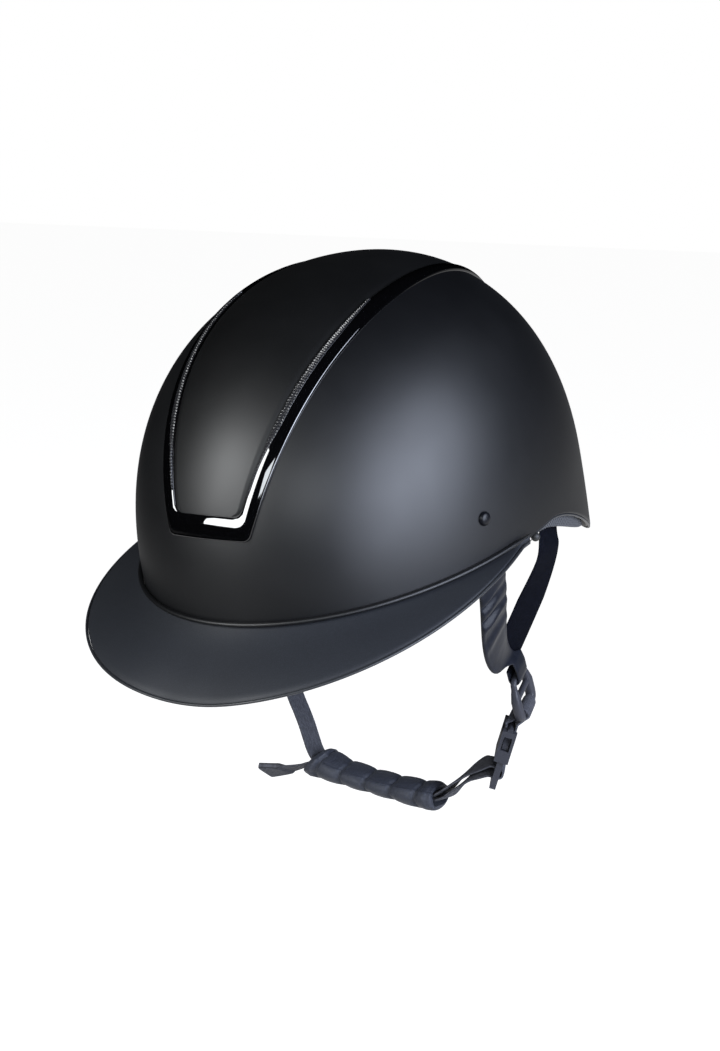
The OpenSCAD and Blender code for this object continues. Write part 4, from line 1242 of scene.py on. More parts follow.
@dataclass(frozen=True)
class Trim(SubAssembly):
    """Gloss frame, the matte panel inside it, and the vent mesh along its arms.

    Attributes:
        bar: Angles of the front bar's edges, over the crown.
        arm_end: Angle of the arms' rear ends.
        outer_curve: Factors of the outer edge's half width, by the powers of its angle.
        inner_curve: The same for the inner edge.
        corners: Sizes of the outer and inner front corners.
        stations: Points along an arm.
        corner_cells: Points round a corner.
        bar_cells: Points along half of the bar.
        section: Shares across the frame from outside, and lifts.
        panel_gap: Gap between the panel and the arms.
        panel_lift: Lift of the panel's rim, and height of its bevel.
        vent_span: Angles of the vent strip's ends.
        vent_width: Its width in front, and how much it gains.
        rib: Height of its ribs.
        rib_stations: Points along it for each rib.
    """

    bar: Pair = (19.0, 24.0)
    arm_end: float = 148.0
    outer_curve: Triple = (8.24, 50.29, -17.33)
    inner_curve: Triple = (1.44, 47.44, -15.71)
    corners: Pair = (3.2, 4.2)
    stations: int = 110
    corner_cells: int = 26
    bar_cells: int = 14
    section: tuple[Pair, ...] = (
        (0, 0.2), (0.01, 0.95), (0.03, 1.2), (0.055, 1.24), (0.085, 1.2), (0.14, 1.32), (0.3, 1.6),
        (0.48, 1.7), (0.64, 1.66), (0.78, 1.5), (0.88, 1.3), (0.94, 1.12), (0.98, 0.8), (1, 0.2),
    )
    panel_gap: float = 0.5
    panel_lift: Pair = (0.15, 0.62)
    vent_span: Pair = (28.5, 84.0)
    vent_width: Pair = (0.9, 2.2)
    rib: float = 0.3
    rib_stations: int = 5

    def build(self) -> Iterator[Object]:
        """Makes the pieces one after the other."""
        yield self.build_frame()
        yield self.build_panel()
        for side in Side:
            yield self.build_vent(side)

    @staticmethod
    def half_width(curve: Triple, angle: Values) -> Values:
        """Half width of an edge at an angle."""
        r = np.radians(angle)
        return curve[0] + curve[1] * r + curve[2] * r * r

    def half_edge(
        self, curve: Triple, low: float, radius: float, inset: float = 0.0
    ) -> Points:
        """One edge of the frame on the left side, with its corner rounded.

        Args:
            curve: The factors of the edge's half width.
            low: Angle of the bar's edge.
            radius: Size of the rounded corner in millimetres.
            inset: How far the edge is moved inwards.

        Returns:
            Half width and angle pairs, from the arm's end to the middle of the bar.
        """
        per_degree = math.radians(1) * self.dome.front
        start = low + radius / per_degree
        angles = self.arm_end - (self.arm_end - start) * np.linspace(0, 1, self.stations) ** 0.8
        arm = np.stack([self.half_width(curve, angles) - inset, angles], -1)
        corner = np.array([self.half_width(curve, low) - inset, low])
        bar_start = np.array([corner[0] - radius, low])
        t = np.linspace(0, 1, self.corner_cells)[1:, None]
        bend = arm[-1] * (1 - t) ** 2 + corner * 2 * (1 - t) * t + bar_start * t**2
        bar = np.linspace(bar_start, (0, low), self.bar_cells)[1:]
        return np.vstack([arm, bend, bar])

    @staticmethod
    def full_edge(half: Points) -> Points:
        """Both sides of an edge, from the left arm's end to the right one's."""
        return np.vstack([half, (half * np.array([-1, 1]))[-2::-1]])

    def build_frame(self) -> Object:
        """The gloss frame: a crowned band with rounded shoulders and a fine outer line.

        Returns:
            The piece.
        """
        outer = self.full_edge(self.half_edge(self.outer_curve, self.bar[0], self.corners[0]))
        inner = self.full_edge(self.half_edge(self.inner_curve, self.bar[1], self.corners[1]))
        share, lift = np.array(self.section).T
        across = outer[:, None] + (inner - outer)[:, None] * share[None, :, None]
        top = self.dome.on_top(across[..., 0], across[..., 1], lift)
        bottom = self.dome.on_top(across[..., 0], across[..., 1], -0.5)
        return make_piece(
            "gloss_frame", slab(top[::-1], bottom[::-1]), self.palette.gloss,
            replaces=["trim_frame"], sharp=50,
        )

    def build_panel(self) -> Object:
        """The panel between the arms, with a fine bevel round its edge.

        Returns:
            The piece.
        """
        low = self.bar[1] + self.panel_gap / 2
        half = self.half_edge(self.inner_curve, low, self.corners[1], inset=self.panel_gap)
        half = half[: self.stations + self.corner_cells - 1]
        side = np.linspace(1, -1, 40)
        x = half[:, :1] * side
        bevel = np.sqrt(np.minimum(1, (1 - np.abs(side)) * 26))
        lift = np.tile(self.panel_lift[0] + self.panel_lift[1] * bevel, (len(half), 1))
        lift[-1] = self.panel_lift[0]
        top = self.dome.on_top(x, half[:, 1:], lift)
        bottom = self.dome.on_top(x, half[:, 1:], -0.4)
        return make_piece(
            "panel_skin", slab(top[::-1], bottom[::-1]), self.palette.panel,
            replaces=["centre_panel"], sharp=60,
        )

    def build_vent(self, side: Side) -> Object:
        """A strip of fine ribs let into the arm's inner shoulder.

        Args:
            side: Side that it is on.

        Returns:
            The piece.
        """
        first, last = self.vent_span
        angles = np.linspace(first, last, 420)
        s = np.linspace(0, 1, 7)
        width = self.vent_width[0] + self.vent_width[1] * smoothstep(33, 46, angles)
        width *= np.minimum(1, np.sqrt(np.clip((angles - first + 0.1) / 1.6, 0.02, 1)))
        width *= np.sqrt(np.clip((last + 0.2 - angles) / 14, 0.05, 1))
        x = self.half_width(self.inner_curve, angles)[:, None] + 0.35 + width[:, None] * s[::-1]
        lift = 1.3 + 0.55 * smoothstep(0, 0.4, s[::-1])
        ribs = self.rib * np.sin(np.arange(len(angles)) * 2 * math.pi / self.rib_stations)
        top = self.dome.on_top(x, angles[:, None], lift + ribs[:, None] * np.sin(np.pi * s))
        bottom = self.dome.on_top(x, angles[:, None], 0.4)
        run = arc_length(top[:, 3])
        uv = np.stack(np.broadcast_arrays(run[:, None], x - x[:, -1:]), -1) * MM
        return make_piece(
            f"vent_strip_{side.label}", slab(top[::-1], bottom[::-1], uv[::-1]).mirrored(side),
            self.palette.vent, replaces=[f"vent_mesh_{side.label}"],
        )


@dataclass(frozen=True)
class Brim(SubAssembly):
    """Brim with its seam bead and edge piping.

    Attributes:
        length: How far it stands out in front.
        drop: How far it falls in front.
        side_reach: How far its sides swell out.
        side_lift: How far its sides rise.
        edge: Thickness at its edge.
        root: Thickness at the shell.
        piping: Thickness of the piping.
        bead: Thickness of the bead.
        middle: Share of the swell that fades out at the middle.
        last: Azimuth of its ends.
        columns: Columns of points along it.
        seat: How far its top lies below the seam.
        gap: Gaps at the shell and at the piping.
    """

    length: float = 35.7
    drop: float = 23.0
    side_reach: float = 8.2
    side_lift: float = 6.1
    edge: float = 2.4
    root: float = 4.0
    piping: float = 1.5
    bead: float = 2.4
    middle: float = 0.3
    last: float = 87.0
    columns: int = 180
    seat: float = 0.2
    gap: float = 0.3

    def build(self) -> Iterator[Object]:
        """Makes the pieces one after the other."""
        yield self.build_brim()
        yield self.build_piping()
        yield self.build_bead()

    @property
    def azimuth(self) -> Points:
        """Azimuths of the columns, from the wearer's right to the left."""
        return np.linspace(-self.last, self.last, self.columns)

    def swell(self) -> Points:
        """Share of the swell at the sides, which fades out smoothly at the middle."""
        s = np.sin(np.radians(2 * np.abs(self.azimuth)))
        return s * (1 - np.exp(-((s / self.middle) ** 2)))

    def lip(self) -> Points:
        """How far the brim's own edge, inside the piping, stands out from the shell."""
        a = np.radians(np.abs(self.azimuth))
        width = self.length * np.cos(a) ** 1.46 + self.side_reach * self.swell() + 0.4
        return np.maximum(2 * self.gap, width - self.piping - self.gap)

    def height(self) -> Points:
        """Height of the edge."""
        a = np.radians(np.abs(self.azimuth))
        return -self.drop * np.cos(a) ** 1.25 + self.side_lift * self.swell()

    def points(self, out: Values, z: Values) -> Points:
        """Points outside the shell's plan at the seam.

        Args:
            out: How far they stand out from the shell.
            z: Their heights.

        Returns:
            The points.
        """
        base = self.dome.wall_at(self.azimuth, 0.0, 0.0)
        moved = base + self.dome.plan_normal(self.azimuth) * np.reshape(out, (-1, 1))
        moved[:, 2] += z
        return moved

    def build_brim(self) -> Object:
        """The brim: a concave fillet under the bead, a nearly flat slope, a rounded edge.

        Returns:
            The piece.
        """
        lip, height = self.lip(), self.height()
        rows_top, rows_low = [], []
        for u in [0, 0.01, 0.025, *np.linspace(0.05, 0.96, 26), 0.985, 0.996, 1]:
            profile = 0.22 * (1 - (1 - u) ** 4) + 0.5 * u + 0.28 * u**3
            out = self.gap + (lip - self.gap) * u
            round_off = 0.7 * smoothstep(0.96, 1.0, u) ** 2
            z = height * profile - self.seat
            thick = self.edge + (self.root - self.edge) * (1 - u)
            rows_top.append(self.points(out, z - round_off))
            rows_low.append(self.points(out, z - thick + round_off))
        top, low = np.stack(rows_top, axis=1), np.stack(rows_low, axis=1)
        # Its material is the shell's plastic in a lighter colour, which paints the light falling on the
        # brim.
        return make_piece(
            "brim_body", slab(top[:, ::-1], low[:, ::-1]), self.palette.brim,
            replaces=["brim"], sharp=60,
        )

    def round_bar(self, centre: Points, radius: float, taper: float) -> Shape:
        """A round bar along the brim that narrows towards both ends.

        Args:
            centre: Points of its middle.
            radius: Its radius.
            taper: Length over which it narrows.

        Returns:
            The bar.
        """
        run = arc_length(centre)
        near = np.minimum(run, run[-1] - run)
        narrowed = radius * (0.25 + 0.75 * smoothstep(0, taper, near))
        return tube(centre, self.dome.plan_normal(self.azimuth), narrowed)

    def build_piping(self) -> Object:
        """Piping along the brim's edge."""
        out = self.lip() + 0.1 + self.piping / 2
        centre = self.points(out, self.height() - self.seat - self.edge / 2)
        return make_piece(
            "brim_piping", self.round_bar(centre, self.piping / 2, 8.0), self.palette.edging,
            replaces=["brim_edging"],
        )

    def build_bead(self) -> Object:
        """Rounded bead over the seam, with a thin dark groove above it."""
        centre = self.points(self.bead / 2 + 0.15, self.bead / 2 + 0.15)
        return make_piece(
            "seam_roll", self.round_bar(centre, self.bead / 2, 14.0), self.palette.shell,
            replaces=["seam_bead"],
        )


@dataclass(frozen=True)
class Wearing:
    """The frame of the hanging harness, which hangs plumb while the helmet leans back.

    Attributes:
        lean: Degrees between the helmet's own vertical and the plumb line.
        loop: Distance of the chin loop's plane from the origin.
        bar_x: Distance of the dividers from the symmetry plane.
        bar_u: Height of their top bars along the plumb line.
        left_hang: Place, tilt and turn of the left divider, which is pulled forward.
        pitch: Distance between a divider's outer bars.
        mouth: Place and height of the buckle's mouth.
        buckle_tilt: Tilt of the buckle in the loop's plane.
        buckle_turn: Its turn about its long axis.
    """

    lean: float = 17.75
    loop: float = 39.6
    bar_x: float = 69.5
    bar_u: float = -80.0
    left_hang: Triple = (36.5, 24.0, 14.0)
    pitch: float = 20.0
    mouth: Pair = (58.4, -124.0)
    buckle_tilt: float = 19.0
    buckle_turn: float = 30.0

    def point(self, x: Values, w: Values, u: Values) -> Points:
        """A point of the hanging harness.

        Args:
            x: Distances from the symmetry plane.
            w: Distances to the rear, square to the plumb line.
            u: Heights along the plumb line.

        Returns:
            The points in the helmet's own frame.
        """
        a = math.radians(self.lean)
        x, w, u = (np.asarray(v, float) for v in np.broadcast_arrays(x, w, u))
        y = w * math.cos(a) + u * math.sin(a)
        z = u * math.cos(a) - w * math.sin(a)
        return np.stack([x, y, z], -1)

    def in_loop(self, x: float, u: float, shift: float = 0.0) -> Points:
        """A point in the chin loop's plane, or shifted from it to the rear."""
        return self.point(x, self.loop + shift, u)

    @property
    def across(self) -> Points:
        """Direction square to the chin loop's plane."""
        return self.point(0.0, 1.0, 0.0)

    def hang(self, side: Side) -> Triple:
        """Place, tilt and turn of a divider, the angles in radians."""
        w, tilt, turn = self.left_hang if side is Side.LEFT else (self.loop, 0.0, 0.0)
        return w, math.radians(tilt), math.radians(turn)

    def on_bar(self, side: Side, x: Values, z: Values) -> Points:
        """Points of a divider's own frame.

        Args:
            side: Side that the divider is on.
            x: Distances outwards from its top bar.
            z: Heights above the top bar.

        Returns:
            The points on the wearer's left.
        """
        w, tilt, turn = self.hang(side)
        x, z = np.asarray(x, float), np.asarray(z, float)
        return self.point(
            self.bar_x + x * math.cos(turn),
            w + x * math.sin(turn) * math.cos(tilt) - z * math.sin(tilt),
            self.bar_u + x * math.sin(turn) * math.sin(tilt) + z * math.cos(tilt),
        )

    def bar_across(self, side: Side) -> Points:
        """Direction of a divider's bars."""
        _, tilt, turn = self.hang(side)
        ahead = math.cos(turn)
        return self.point(-math.sin(turn), ahead * math.cos(tilt), ahead * math.sin(tilt))

    def bar_matrix(self, side: Side) -> Matrix:
        """What places a shape that is built round a divider's top bar.

        Args:
            side: Side that the divider is on.

        Returns:
            The matrix, for the wearer's left.
        """
        origin = self.on_bar(side, 0.0, 0.0)
        x_axis = self.on_bar(side, 1.0, 0.0) - origin
        z_axis = self.on_bar(side, 0.0, 1.0) - origin
        rows = np.eye(4)
        rows[:3] = np.stack([x_axis, np.cross(z_axis, x_axis), z_axis, origin], -1)
        return Matrix(rows.tolist())

    def on_buckle(self, x: Values, z: Values) -> Points:
        """Points of the buckle's own frame.

        Args:
            x: Distances outwards from its middle.
            z: Heights above its mouth.

        Returns:
            The points.
        """
        tilt, turn = math.radians(self.buckle_tilt), math.radians(self.buckle_turn)
        return self.point(
            self.mouth[0] + x * math.cos(turn) * math.cos(tilt) + z * math.sin(tilt),
            self.loop + x * math.sin(turn),
            self.mouth[1] - x * math.cos(turn) * math.sin(tilt) + z * math.cos(tilt),
        )

    def buckle_across(self) -> Points:
        """Direction of the buckle's width."""
        tilt, turn = math.radians(self.buckle_tilt), math.radians(self.buckle_turn)
        aside = math.sin(turn)
        return self.point(-aside * math.cos(tilt), math.cos(turn), aside * math.sin(tilt))


@dataclass(frozen=True)
class Strip:
    """The cross-section of a strap.

    Attributes:
        width: Its width.
        thick: Its thickness in the middle.
        edge: Power of its rounded edges; higher is squarer.
        cells: Points across each face.
    """

    width: float
    thick: float
    edge: float = 6.0
    cells: int = 13

    def along(
        self,
        path: Points,
        across: Points,
        widths: Points | None = None,
        thicks: Points | None = None,
        relief: Callable[[Points, Points], Points] | None = None,
    ) -> Shape:
        """Sweeps the section along a path.

        Args:
            path: Points of the strap's middle.
            across: Direction of its width at each point.
            widths: Width at each point, if it changes.
            thicks: Thickness at each point, if it changes.
            relief: Extra height of the top face, from the run and the offsets across.

        Returns:
            The strap, with flat coordinates along and across it.
        """
        run = arc_length(path)[:, None]
        half_w = np.broadcast_to(self.width if widths is None else widths, len(path))[:, None] / 2
        half_t = np.broadcast_to(self.thick if thicks is None else thicks, len(path))[:, None] / 2
        s = np.sin(np.linspace(-math.pi / 2, math.pi / 2, self.cells))
        rise = (1 - np.abs(s) ** self.edge) ** (1 / self.edge)
        extra = 0.0 if relief is None else relief(run, s * half_w) * rise
        aside = np.hstack([s * half_w, (s * half_w)[:, -2:0:-1]])
        face = np.hstack([half_t * rise + extra, (-half_t * rise)[:, -2:0:-1]])
        normal = unit(np.cross(across, tangents(path)))
        rings = path[:, None] + aside[..., None] * across[:, None] + face[..., None] * normal[:, None]
        return sweep(rings, np.stack(np.broadcast_arrays(run, aside), -1) * MM)


@dataclass(frozen=True)
class Harness(SubAssembly):
    """The side straps, the dividers, the buckle and the padded chin strap.

    Attributes:
        wearing: The frame of the hanging harness.
        web: Thickness of the webbing.
        side_width: Width of the side straps.
        chin_width: Width of the chin strap.
        bar: Thickness of the dividers' bars.
        bar_gap: Gap between a bar and its webbing.
        front_thick: Thickness of the front straps.
        rivet_azimuth: Azimuth of the rivets.
        front_from: Degrees behind the rivet, and height, where a front strap starts.
        rear_from: Azimuth and height where a rear strap starts.
        strap_inset: How far inside the dome the straps start.
        tied_width: Width of a front strap at the divider.
        twist: Turn of the chin strap on its way to the buckle.
        sleeve_left: Place of the sleeve's right-hand end.
        sleeve_length: Length of the sleeve.
        sleeve_seams: Sewn channels across it.
        tail: Place and height of the chin strap's end.
        tail_twist: Turn of the tail on its way there.
    """

    wearing: Wearing
    web: float = 1.4
    side_width: float = 20.0
    chin_width: float = 14.0
    bar: float = 3.0
    bar_gap: float = 0.35
    front_thick: float = 3.2
    rivet_azimuth: float = 74.2
    front_from: Pair = (0.8, 9.7)
    rear_from: Pair = (108.0, 4.0)
    strap_inset: float = 6.75
    tied_width: float = 14.0
    twist: tuple[float, ...] = (0.0, 6.0, 13.0, 20.0, 26.0)
    sleeve_left: float = -57.0
    sleeve_length: float = 78.0
    sleeve_seams: int = 4
    tail: Pair = (-89.5, -150.2)
    tail_twist: tuple[float, ...] = (5.0, 12.0, 20.0, 27.0, 32.0)

    def build(self) -> Iterator[Object]:
        """Makes the pieces one after the other."""
        for side in Side:
            yield self.build_front_strap(side)
            yield self.build_rear_strap(side)
            yield self.build_divider(side)
        yield self.build_lower_strap()
        yield self.build_chin_strap()
        yield self.build_chin_sleeve()
        yield soften_cad("buckle_socket", self.palette.buckle, 0.55)
        yield soften_cad("buckle_tongue", self.palette.buckle, 0.35)
        for prong in ("prong_front", "prong_rear"):
            yield soften_cad(prong, self.palette.buckle, 0.2)

    @property
    def turn(self) -> float:
        """Radius of the webbing's middle where it turns round a bar."""
        return self.bar / 2 + self.bar_gap + self.web / 2

    def facing(
        self, path: Points, azimuth: float, rate: float = 1.0, sideways: float = 0.0
    ) -> Points:
        """Width directions of a hanging strap: flat on the wall above, sideways below.

        Args:
            path: Points of the strap's middle.
            azimuth: Where the strap hangs from the wall.
            rate: How soon it has turned sideways; 1 is at its end.
            sideways: How far forward the sideways face looks.

        Returns:
            Unit directions.
        """
        t = np.minimum(1, rate * np.linspace(0, 1, len(path)))[:, None]
        hint = self.dome.plan_normal(azimuth) * (1 - t) + np.array([1.0, -sideways, 0]) * t
        return unit(np.cross(tangents(path), hint))

    def build_front_strap(self, side: Side) -> Object:
        """Padded leather strap with slanting folds, turned round the divider's top bar.

        Args:
            side: Side that it is on.

        Returns:
            The piece.
        """
        w, r = self.wearing, self.turn
        behind, z = self.front_from
        start = self.dome.wall_at(self.rivet_azimuth + behind, z, self.strap_inset)
        meet = w.on_bar(side, r - 0.9, 10.0)
        slope = bezier(start, (-7.7, 22.6, -44.6), meet, (0.0, -35.0, 8.0), 70)
        angles = np.radians(np.arange(0, -181, -12))
        bend = w.on_bar(side, r * np.cos(angles), r * np.sin(angles))
        lead = w.on_bar(side, r, [5.0, 2.5])
        end = w.on_bar(side, -r, [2.5, 5.0])
        path = resample(np.vstack([slope, lead, bend, end]), 1.3)
        run = arc_length(path)
        total = arc_length(slope)[-1]
        mix = smoothstep(total - 26, total - 4, run)[:, None]
        across = self.facing(path, self.rivet_azimuth) * (1 - mix) - w.bar_across(side) * mix
        gathered = smoothstep(total - 20, total - 5, run)
        widths = self.side_width - (self.side_width - self.tied_width) * gathered
        padded = smoothstep(8, 26, run) * (1 - smoothstep(total - 22, total - 8, run))
        thicks = self.front_thick / 2 * (1 + padded)

        def folds(at: Points, offset: Points) -> Points:
            """Height of the folds and hems, by the run and the offsets across."""
            slant = (at - 0.4 * offset + 1.6 * np.sin(at / 7.0)) * 2 * math.pi
            middle = np.exp(-(((at - 0.47 * total) / 17.0) ** 2))
            crease = np.sin(slant / 10.5) + 0.35 * np.sin(slant / 5.9 + 1)
            wave = crease * (1.0 + 0.5 * np.tanh(offset / 4.0)) * 1.15
            hem = -0.28 * np.exp(-(((np.abs(offset) - 7.6) / 0.5) ** 2))
            fade = smoothstep(6, 20, at) * (1 - smoothstep(total - 22, total - 8, at))
            return (0.85 * middle * wave + hem) * fade

        strip = Strip(self.side_width, self.front_thick, edge=3.5, cells=25)
        return make_piece(
            f"front_strap_leather_{side.label}",
            strip.along(path, unit(across), widths, thicks, folds).mirrored(side), self.palette.leather,
            replaces=[f"front_strap_{side.label}"], sharp=80,
        )

    def build_rear_strap(self, side: Side) -> Object:
        """Webbing from the rear anchor to the back of the front strap.

        Args:
            side: Side that it is on.

        Returns:
            The piece.
        """
        azimuth, z = self.rear_from
        start = self.dome.wall_at(azimuth, z, self.strap_inset + 1.7)
        finish = self.wearing.on_bar(side, -self.turn - self.web - 1.4, 9.0)
        path = resample(bezier(start, (2.4, -26.9, -34.5), finish, (38.8, 24.2, 75.7), 90), 1.2)
        across = self.facing(path, azimuth, 1.6, 0.2)
        # Its webbing is darkened to paint the shade that the rear strap lies in.
        return make_piece(
            f"rear_strap_webbing_{side.label}",
            Strip(self.side_width - 1, self.web).along(path, across).mirrored(side),
            self.palette.side_webbing_painted_shade, replaces=[f"rear_strap_{side.label}"], sharp=60,
        )

    def build_divider(self, side: Side) -> Object:
        """A rounded moulded frame with a middle bar, over the CAD divider's bars.

        Args:
            side: Side that it is on.

        Returns:
            The piece.
        """
        w = self.wearing
        radius = self.bar / 2
        half_w = (self.chin_width + 2 * self.bar + 1.6) / 2 - radius
        half_h = w.pitch / 2
        outwards = np.array([1.0, 0, 0])
        angle = np.linspace(0, 2 * math.pi, 96, endpoint=False)
        ring_y = signed_power(np.cos(angle), 2 / 7) * half_w
        ring_z = signed_power(np.sin(angle), 2 / 7) * half_h - half_h
        path = np.stack([np.zeros_like(angle), ring_y, ring_z], -1)
        ahead = unit(np.roll(path, -1, axis=0) - np.roll(path, 1, axis=0))
        out = unit(np.cross(ahead, outwards))
        on_rail = smoothstep(0.55, 0.95, np.abs(ring_y) / half_w) * smoothstep(3.0, 9.0, -ring_z)
        on_rail = on_rail[:, None, None]
        turn = np.radians(np.arange(20) * 18)
        c = signed_power(np.cos(turn), 2 / 2.8)
        s = signed_power(np.sin(turn), 2 / 2.8)
        middle = path[:, None] + out[:, None] * 1.15 * on_rail
        deep = outwards * c[None, :, None] * (radius + 1.0 * on_rail)
        wide = out[:, None] * s[None, :, None] * (radius + 1.2 * on_rail)
        frame = sweep(middle + deep + wide, closed=True)
        section = [
            np.stack([radius * c, np.full(20, y), radius * s - half_h], -1)
            for y in np.linspace(-half_w, half_w, 9)
        ]
        bar = sweep(np.array(section)[:, ::-1])
        return make_piece(
            f"divider_frame_{side.label}", placed(frame.joined(bar), w.bar_matrix(side)).mirrored(side),
            self.palette.buckle, body=Body.HELMET if side is Side.LEFT else Body.CHIN_LOOP,
            replaces=[f"divider_{side.label}"], sharp=50,
        )

    def build_lower_strap(self) -> Object:
        """Webbing loop from the left divider's bottom bar to the socket's bar.

        Returns:
            The piece.
        """
        w, r = self.wearing, self.turn
        bar = 19 - self.bar / 2
        down = np.radians(np.arange(180, -1, -15))
        back = np.radians(np.arange(0, -181, -15))
        path = np.vstack(
            [
                w.on_buckle(-r + 0.2, bar + 4.2),
                w.on_bar(Side.LEFT, -r, -w.pitch - 2.5),
                w.on_bar(Side.LEFT, r * np.cos(down), -w.pitch + r * np.sin(down)),
                w.on_bar(Side.LEFT, r, -w.pitch - 2.5),
                w.on_buckle(r, bar + 3),
                w.on_buckle(r * np.cos(back), bar + r * np.sin(back)),
                w.on_buckle(-r, bar + 1.5),
            ]
        )
        path = resample(path, 0.7)
        mix = smoothstep(0.45, 0.62, np.linspace(0, 1, len(path)))[:, None]
        across = -unit(w.bar_across(Side.LEFT) * (1 - mix) + w.buckle_across() * mix)
        return make_piece(
            "lower_strap_webbing", Strip(self.chin_width, self.web).along(path, across),
            self.palette.webbing, replaces=["lower_strap"], sharp=70,
        )

    def sleeve_x(self, t: Values) -> Values:
        """Side distance along the sleeve."""
        return self.sleeve_left + self.sleeve_length * np.asarray(t, float)

    @staticmethod
    def sleeve_u(t: Values) -> Values:
        """Plumb height along the sleeve."""
        t = np.asarray(t, float)
        return -140.6 - 4.2 * (1 - (1 - t) ** 3) - 5.8 * t

    def twisted(self, points: Points, degrees: Sequence[float]) -> Points:
        """Width directions of the chin strap, turned about its own run.

        Args:
            points: Points of the strap's middle.
            degrees: Turn at each point.

        Returns:
            Unit directions.
        """
        angle = np.radians(np.asarray(degrees, float))[:, None]
        across = self.wearing.across
        return unit(across * np.cos(angle) - np.cross(across, tangents(points)) * np.sin(angle))

    def build_chin_strap(self) -> Object:
        """Doubled webbing: through the sleeve, round the tongue's bar, and back to a folded tail.

        Returns:
            The piece.
        """
        w, r = self.wearing, self.turn
        bar_u = w.bar_u - w.pitch
        shift = self.web / 2 + 0.25
        inside = np.array([0.12, 0.25, 0.4, 0.55, 0.7, 0.85, 0.97])
        drop = [(-w.bar_x + r - 0.1, bar_u - 4)]
        drop += [
            (-w.bar_x + r * math.cos(math.radians(a)), bar_u + r * math.sin(math.radians(a)))
            for a in range(0, 181, 36)
        ]
        drop += [(-71.4, -104), (-69.4, -109), (-66.2, -115), (-62.8, -122), (-60, -129)]
        drop += [(-57.4, -135), (-54, -139.2)]
        drop += list(zip(self.sleeve_x(inside), self.sleeve_u(inside) + shift))
        rise = [(25, -146.2, 0), (30, -142, -0.4), (36, -137.2, -0.9), (42, -132.7, -1.5)]
        rise += [(48, -129.3, -2)]
        ladder = [(-4.2, -4.9), (-1.4, -4.8), (1.5, -4.8), (2.9, -5.7), (3.1, -7.4), (2.9, -9.1)]
        ladder += [(1.5, -10), (-1.4, -10), (-4.2, -10.4)]
        fall = [(47.4, -133.2, -2), (42.4, -135.8, -1.5), (37, -140.2, -0.9)]
        fall += [(31.3, -144.8, -0.4), (25.6, -149.6, 0)]
        behind = np.append(inside[::-1], 0.0)
        back = list(zip(self.sleeve_x(behind), self.sleeve_u(behind) - shift))
        start_u = float(self.sleeve_u(0.0)) - shift
        for t in (0.17, 0.36, 0.58, 0.81, 1.0):
            x = self.sleeve_left + (self.tail[0] - self.sleeve_left) * t
            back.append((x, start_u + (self.tail[1] - start_u) * t - math.sin(math.pi * t)))
        route = [(w.in_loop, drop), (w.in_loop, rise), (w.on_buckle, ladder)]
        route += [(w.in_loop, fall), (w.in_loop, back)]
        parts = [np.array([place(*p) for p in points]) for place, points in route]
        widths = [
            np.tile(w.across, (len(drop), 1)),
            self.twisted(parts[1], self.twist),
            np.tile(w.buckle_across(), (len(ladder), 1)),
            self.twisted(parts[3], [-t for t in reversed(self.twist)]),
            self.twisted(parts[4], [0.0] * len(behind) + list(self.tail_twist)),
        ]
        carried = spline(np.hstack([np.vstack(parts), np.vstack(widths) * 0.01]), 0.8)
        path, across = carried[:, :3], unit(carried[:, 3:])
        run = arc_length(path)
        folded = 1 - smoothstep(13.2, 14.2, run[-1] - run)
        thicks = self.web + 2.4 * folded
        return make_piece(
            "chin_strap_webbing", Strip(self.chin_width, self.web).along(path, across, thicks=thicks),
            self.palette.webbing, body=Body.CHIN_LOOP, replaces=["chin_strap"], sharp=60,
        )

    def build_chin_sleeve(self) -> Object:
        """Quilted sleeve: crowned between slanting sewn channels, open at both ends.

        Returns:
            The piece.
        """
        w = self.wearing
        rows, sides = 190, 120
        t = np.linspace(0, 1, rows)[:, None]
        near_end = np.minimum(t, 1 - t)
        a = -np.linspace(0, 2 * math.pi, sides, endpoint=False)[None, :]
        zigzag = 0.05 * np.sin(a) + 0.035 * np.arcsin(np.sin(2 * a + 0.7)) / 1.57
        channel = np.abs(np.cos(math.pi * ((self.sleeve_seams + 1) * (t + zigzag) - 0.5)))
        pucker = 0.012 * np.sin(9 * a + 40 * t) * channel**4
        swell = 1 - 0.08 * channel**3 - 0.13 * channel**34 + pucker
        swell = np.where((t > 0.05) & (t < 0.97), swell, 0.97)
        ease = np.minimum(1, 0.87 + 2.6 * near_end)
        lip = np.sqrt(np.clip(near_end / 0.012, 0.0, 1)) * 0.06 + 0.94
        turn = np.degrees(np.mod(a, 2 * math.pi))
        flap = smoothstep(147, 150, turn) * (1 - smoothstep(222, 240, turn)) * np.ones_like(t)
        fullness = swell * ease * lip + 0.08 * flap
        outer_w = 11.5 * np.cos(a) * fullness
        outer_u = 7.5 * (0.8 + 0.3 * (2 * t - 1) ** 2) * np.sin(a) * fullness
        flare = 1 + 0.3 * np.clip(1 - near_end / 0.15, 0, 1)
        bore_w = 8.2 * signed_power(np.cos(a), 0.55) * np.ones_like(t)
        bore_u = 3.5 * signed_power(np.sin(a), 0.55) * flare

        def ring(dw: Points, du: Points) -> Points:
            """Points of the sleeve, by their distances from its middle, rearward and plumb."""
            slant = np.where(t < 0.2, (0.2 - t) * 3.75 * np.maximum(-2, du + 2), 0)
            tongue = 3.4 * flap * smoothstep(0.9, 1.0, t) * (0.35 - 0.09 * du)
            x = self.sleeve_x(t) + slant + 0.12 * du + tongue
            return w.point(x, w.loop + dw, self.sleeve_u(t) + du)

        rings = np.concatenate([ring(outer_w, outer_u), ring(bore_w, bore_u)[::-1]])
        run, round_it = np.broadcast_arrays(t * self.sleeve_length, a * 9.0)
        uv = np.stack([run, round_it], -1) * MM
        uv = np.concatenate([uv, uv[::-1]])
        return make_piece(
            "chin_sleeve", sweep(rings[:, ::-1], uv[:, ::-1], closed=True), self.palette.chin_cover,
            body=Body.CHIN_LOOP, replaces=["chin_pad"], sharp=75,
        )


